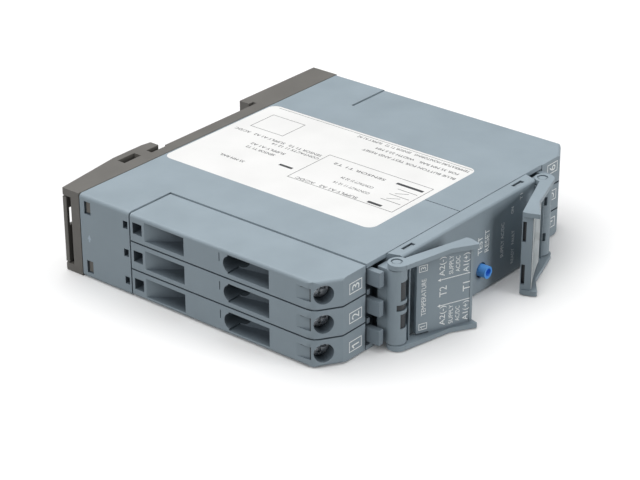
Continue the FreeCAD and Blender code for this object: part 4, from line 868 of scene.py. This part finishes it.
# Faces of the cap and the blocks in Y. The end's print starts just inside the end face.
CAP_FRONT, BLOCK_FRONT = -45, -41.2
END_START = -49.985
ALONG_Y = Vector((0, 1, 0))
ALONG_Z = Vector((0, 0, 1))
TOWARDS_UPPER = Vector((-1, 0, 0))
SURFACES = {
    "cap": (Vector((0, CAP_FRONT, 0)), ALONG_Z, TOWARDS_UPPER),
    "block": (Vector((0, BLOCK_FRONT, 0)), ALONG_Z, TOWARDS_UPPER),
    "flap": (plate_start, ALONG_Z, -plate_run),
    "label": (Vector((0, 0, label_low.z / MM + FILM_THICK)), ALONG_Y, TOWARDS_UPPER),
    "end": (Vector((END_START, 0, 0)), -ALONG_Y, ALONG_Z),
}


def stand(piece, surface, along, above, turn=0):
    """Puts a mark on a surface, in mm along its reading and above its start, turned by degrees."""
    start, reading, upright = SURFACES[surface]
    piece.rotation_euler.z = math.radians(turn)
    bpy.context.view_layer.update()
    return placed(piece, start + along * reading + above * upright, reading, upright)


def printed(name, marks, ink, body):
    """One piece out of all the marks in one ink on one body."""
    piece = joined(marks)
    piece.name = name
    piece.data.materials.clear()
    piece.data.materials.append(ink)
    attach(piece, body)
    print(name, len(piece.data.polygons), "faces of ink")


print("print on:", ", ".join(SURFACES))

# %% [markdown]
# Each terminal has its number in a white box on the front of its block. The box is modelled once and
# copied for the other poles; only the numbers differ.

# %% Terminal numbers
# Width, height and line of the box, and height of the number, in mm.
NUMBER_BOX = (2.8, 4.6, 0.22)
NUMBER_TALL = 2.6
# Height of each row above the surface's start, and where its numbers stand along the reading.
TERMINAL_ROWS = {"upper": (39.3, {"1": 3.4, "2": 10.9, "3": 18.45}),
                 "lower": (-40.4, {"4": 4.2, "5": 12.0, "6": 19.8})}
number_box = outline(*NUMBER_BOX)
for side, (above, poles) in TERMINAL_ROWS.items():
    marks = []
    for digit, along in poles.items():
        marks.append(stand(twin(number_box), "block", along, above))
        marks.append(stand(numeral(digit, NUMBER_TALL), "block", along, above))
    printed(f"{side}_terminal_numbers", marks, white_ink, f"{side}_terminal")

# %% [markdown]
# The upper flap carries the wiring plan: the terminals in use, the supply and the sensor, with an arrow
# from each group to its screw. The words are general ones.

# %% Flap print
SMALL, LARGE = 1.15, 1.95
# Words, width and height, then their middle along the reading and below the start, in mm.
FLAP_WORDS = [("TEMPERATURE", 9.6, 1.25, 11.0, 1.95),
              ("A2(-)", 5.0, LARGE, 17.8, 7.05), ("SUPPLY", 4.8, SMALL, 17.7, 9.3),
              ("AC/DC", 4.1, SMALL, 17.5, 11.15), ("A1(+)", 5.0, LARGE, 17.3, 13.6),
              ("T2", 2.7, LARGE, 11.25, 7.2), ("T1", 2.4, LARGE, 11.0, 13.65),
              ("A2(-)", 5.1, LARGE, 4.8, 7.4), ("SUPPLY", 4.9, SMALL, 4.65, 9.5),
              ("AC/DC", 4.0, SMALL, 4.35, 11.35), ("A1(+)", 5.1, LARGE, 4.6, 13.75)]
# Boxed numbers and arrows: along the reading and below the start.
FLAP_NUMBERS = {"1": (3.35, 1.85), "3": (18.6, 1.7)}
FLAP_NUMBER_TALL = 1.35
FLAP_BOX = (1.7, 2.3, 0.16)
FLAP_ARROW = (8.4, 0.2, 0.8)
FLAP_ARROWS = ((7.6, 10.7), (14.4, 10.7))
marks = [stand(lettering(words, wide, tall), "flap", along, -below)
         for words, wide, tall, along, below in FLAP_WORDS]
flap_box = outline(*FLAP_BOX)
for digit, (along, below) in FLAP_NUMBERS.items():
    marks.append(stand(twin(flap_box), "flap", along, -below))
    marks.append(stand(numeral(digit, FLAP_NUMBER_TALL), "flap", along, -below))
flap_arrow = arrow(*FLAP_ARROW)
for along, below in FLAP_ARROWS:
    marks.append(stand(twin(flap_arrow), "flap", along, -below))
printed("upper_flap_print", marks, white_ink, "upper_flap")

# %% [markdown]
# The front names what the button does, and smaller type beside it names the supply and the lamps. The
# end of the housing has a small pale mark.

# %% Front print
# Words, width and height, then their middle along the reading and below the start, in mm.
CAP_WORDS = [("TEST", 4.8, 1.8, 13.0, 4.15), ("RESET", 6.0, 1.8, 13.4, 6.95),
             ("SUPPLY AC/DC", 9.4, 1.2, 10.95, 13.5), ("ON", 1.8, 1.1, 17.6, 17.45),
             ("READY   FAULT", 9.0, 1.1, 7.4, 18.1), ("T1", 1.7, 1.1, 20.0, 21.1)]
END_ARROW = (0.7, 0.5, 1.3)
END_ARROW_AT = (-33.67, 10.5)
marks = [stand(lettering(words, wide, tall), "cap", along, -below)
         for words, wide, tall, along, below in CAP_WORDS]
printed("front_print", marks, white_ink, "relay_body")
printed("end_mark", [stand(arrow(*END_ARROW), "end", *END_ARROW_AT)], pale_ink, "relay_body")

# %% [markdown]
# The side label has lines of small type, a long rule, an empty frame, and a frame with a plain contact
# diagram: two blades, their fixed contacts and two dark blocks that name the terminals. The type is
# about a millimetre high, in general words.

# %% Label print
TYPE = 1.05
FRAME_LINE = 0.14
# Words and width, then their middle along the reading and below the start, in mm.
LABEL_LINES = [("TEMPERATURE MONITORING   SENSOR T1 T2   SUPPLY A1 A2", 35.4, -12.1, 20.3),
               ("FOR 35 MM RAIL   WIDTH 22.5 MM", 25.8, -15.6, 17.4),
               ("BLUE BUTTON FOR TEST AND RESET", 29.0, -15.0, 14.6),
               ("SENSOR T1 T2   SUPPLY A1 A2   AC/DC", 28.9, 19.45, 4.6),
               ("CONTACTS 11 12 14", 15.3, 12.05, 2.8), ("SUPPLY A1 A2", 11.3, 18.45, -0.4),
               ("SENSOR T1 T2", 9.4, 19.1, -2.6), ("35 MM RAIL", 8.0, 21.8, -10.4),
               ("SENSOR T1 T2", 16.2, -8.4, 3.3), ("CONTACT 11 12 14", 11.1, -12.75, -5.4),
               ("SUPPLY A1 A2   AC/DC", 19.3, -7.95, -9.2), ("CONTACT 21 22 24", 10.0, -12.0, -2.2)]
# Width and height, then the middle as above.
LABEL_BARS = [(63.2, 0.12, 1.8, 21.7), (4.2, 0.9, 7.8, -5.9), (8.1, 0.95, -23.85, 3.7),
              (4.2, 0.95, -22.8, -9.0), (6.0, 0.16, -25.0, 1.2), (6.0, 0.16, -25.0, -2.2),
              (6.0, 0.16, -25.0, -5.6)]
LABEL_FRAMES = [(32.8, 16.8, -12.6, -1.8), (11.0, 9.3, 26.2, 12.65)]
BLADE = (3.4, 0.16)
BLADE_TURN = 30
BLADES = ((-24.6, -0.5), (-24.6, -3.9))
marks = [stand(lettering(words, wide, TYPE), "label", along, -below)
         for words, wide, along, below in LABEL_LINES]
marks += [stand(bar(wide, tall), "label", along, -below) for wide, tall, along, below in LABEL_BARS]
marks += [stand(outline(wide, tall, FRAME_LINE), "label", along, -below)
          for wide, tall, along, below in LABEL_FRAMES]
blade = bar(*BLADE)
for along, below in BLADES:
    marks.append(stand(twin(blade), "label", along, -below, BLADE_TURN))
printed("side_label_print", marks, black_ink, "relay_body")
for pattern in (number_box, flap_box, flap_arrow, blade):
    bpy.data.objects.remove(pattern)
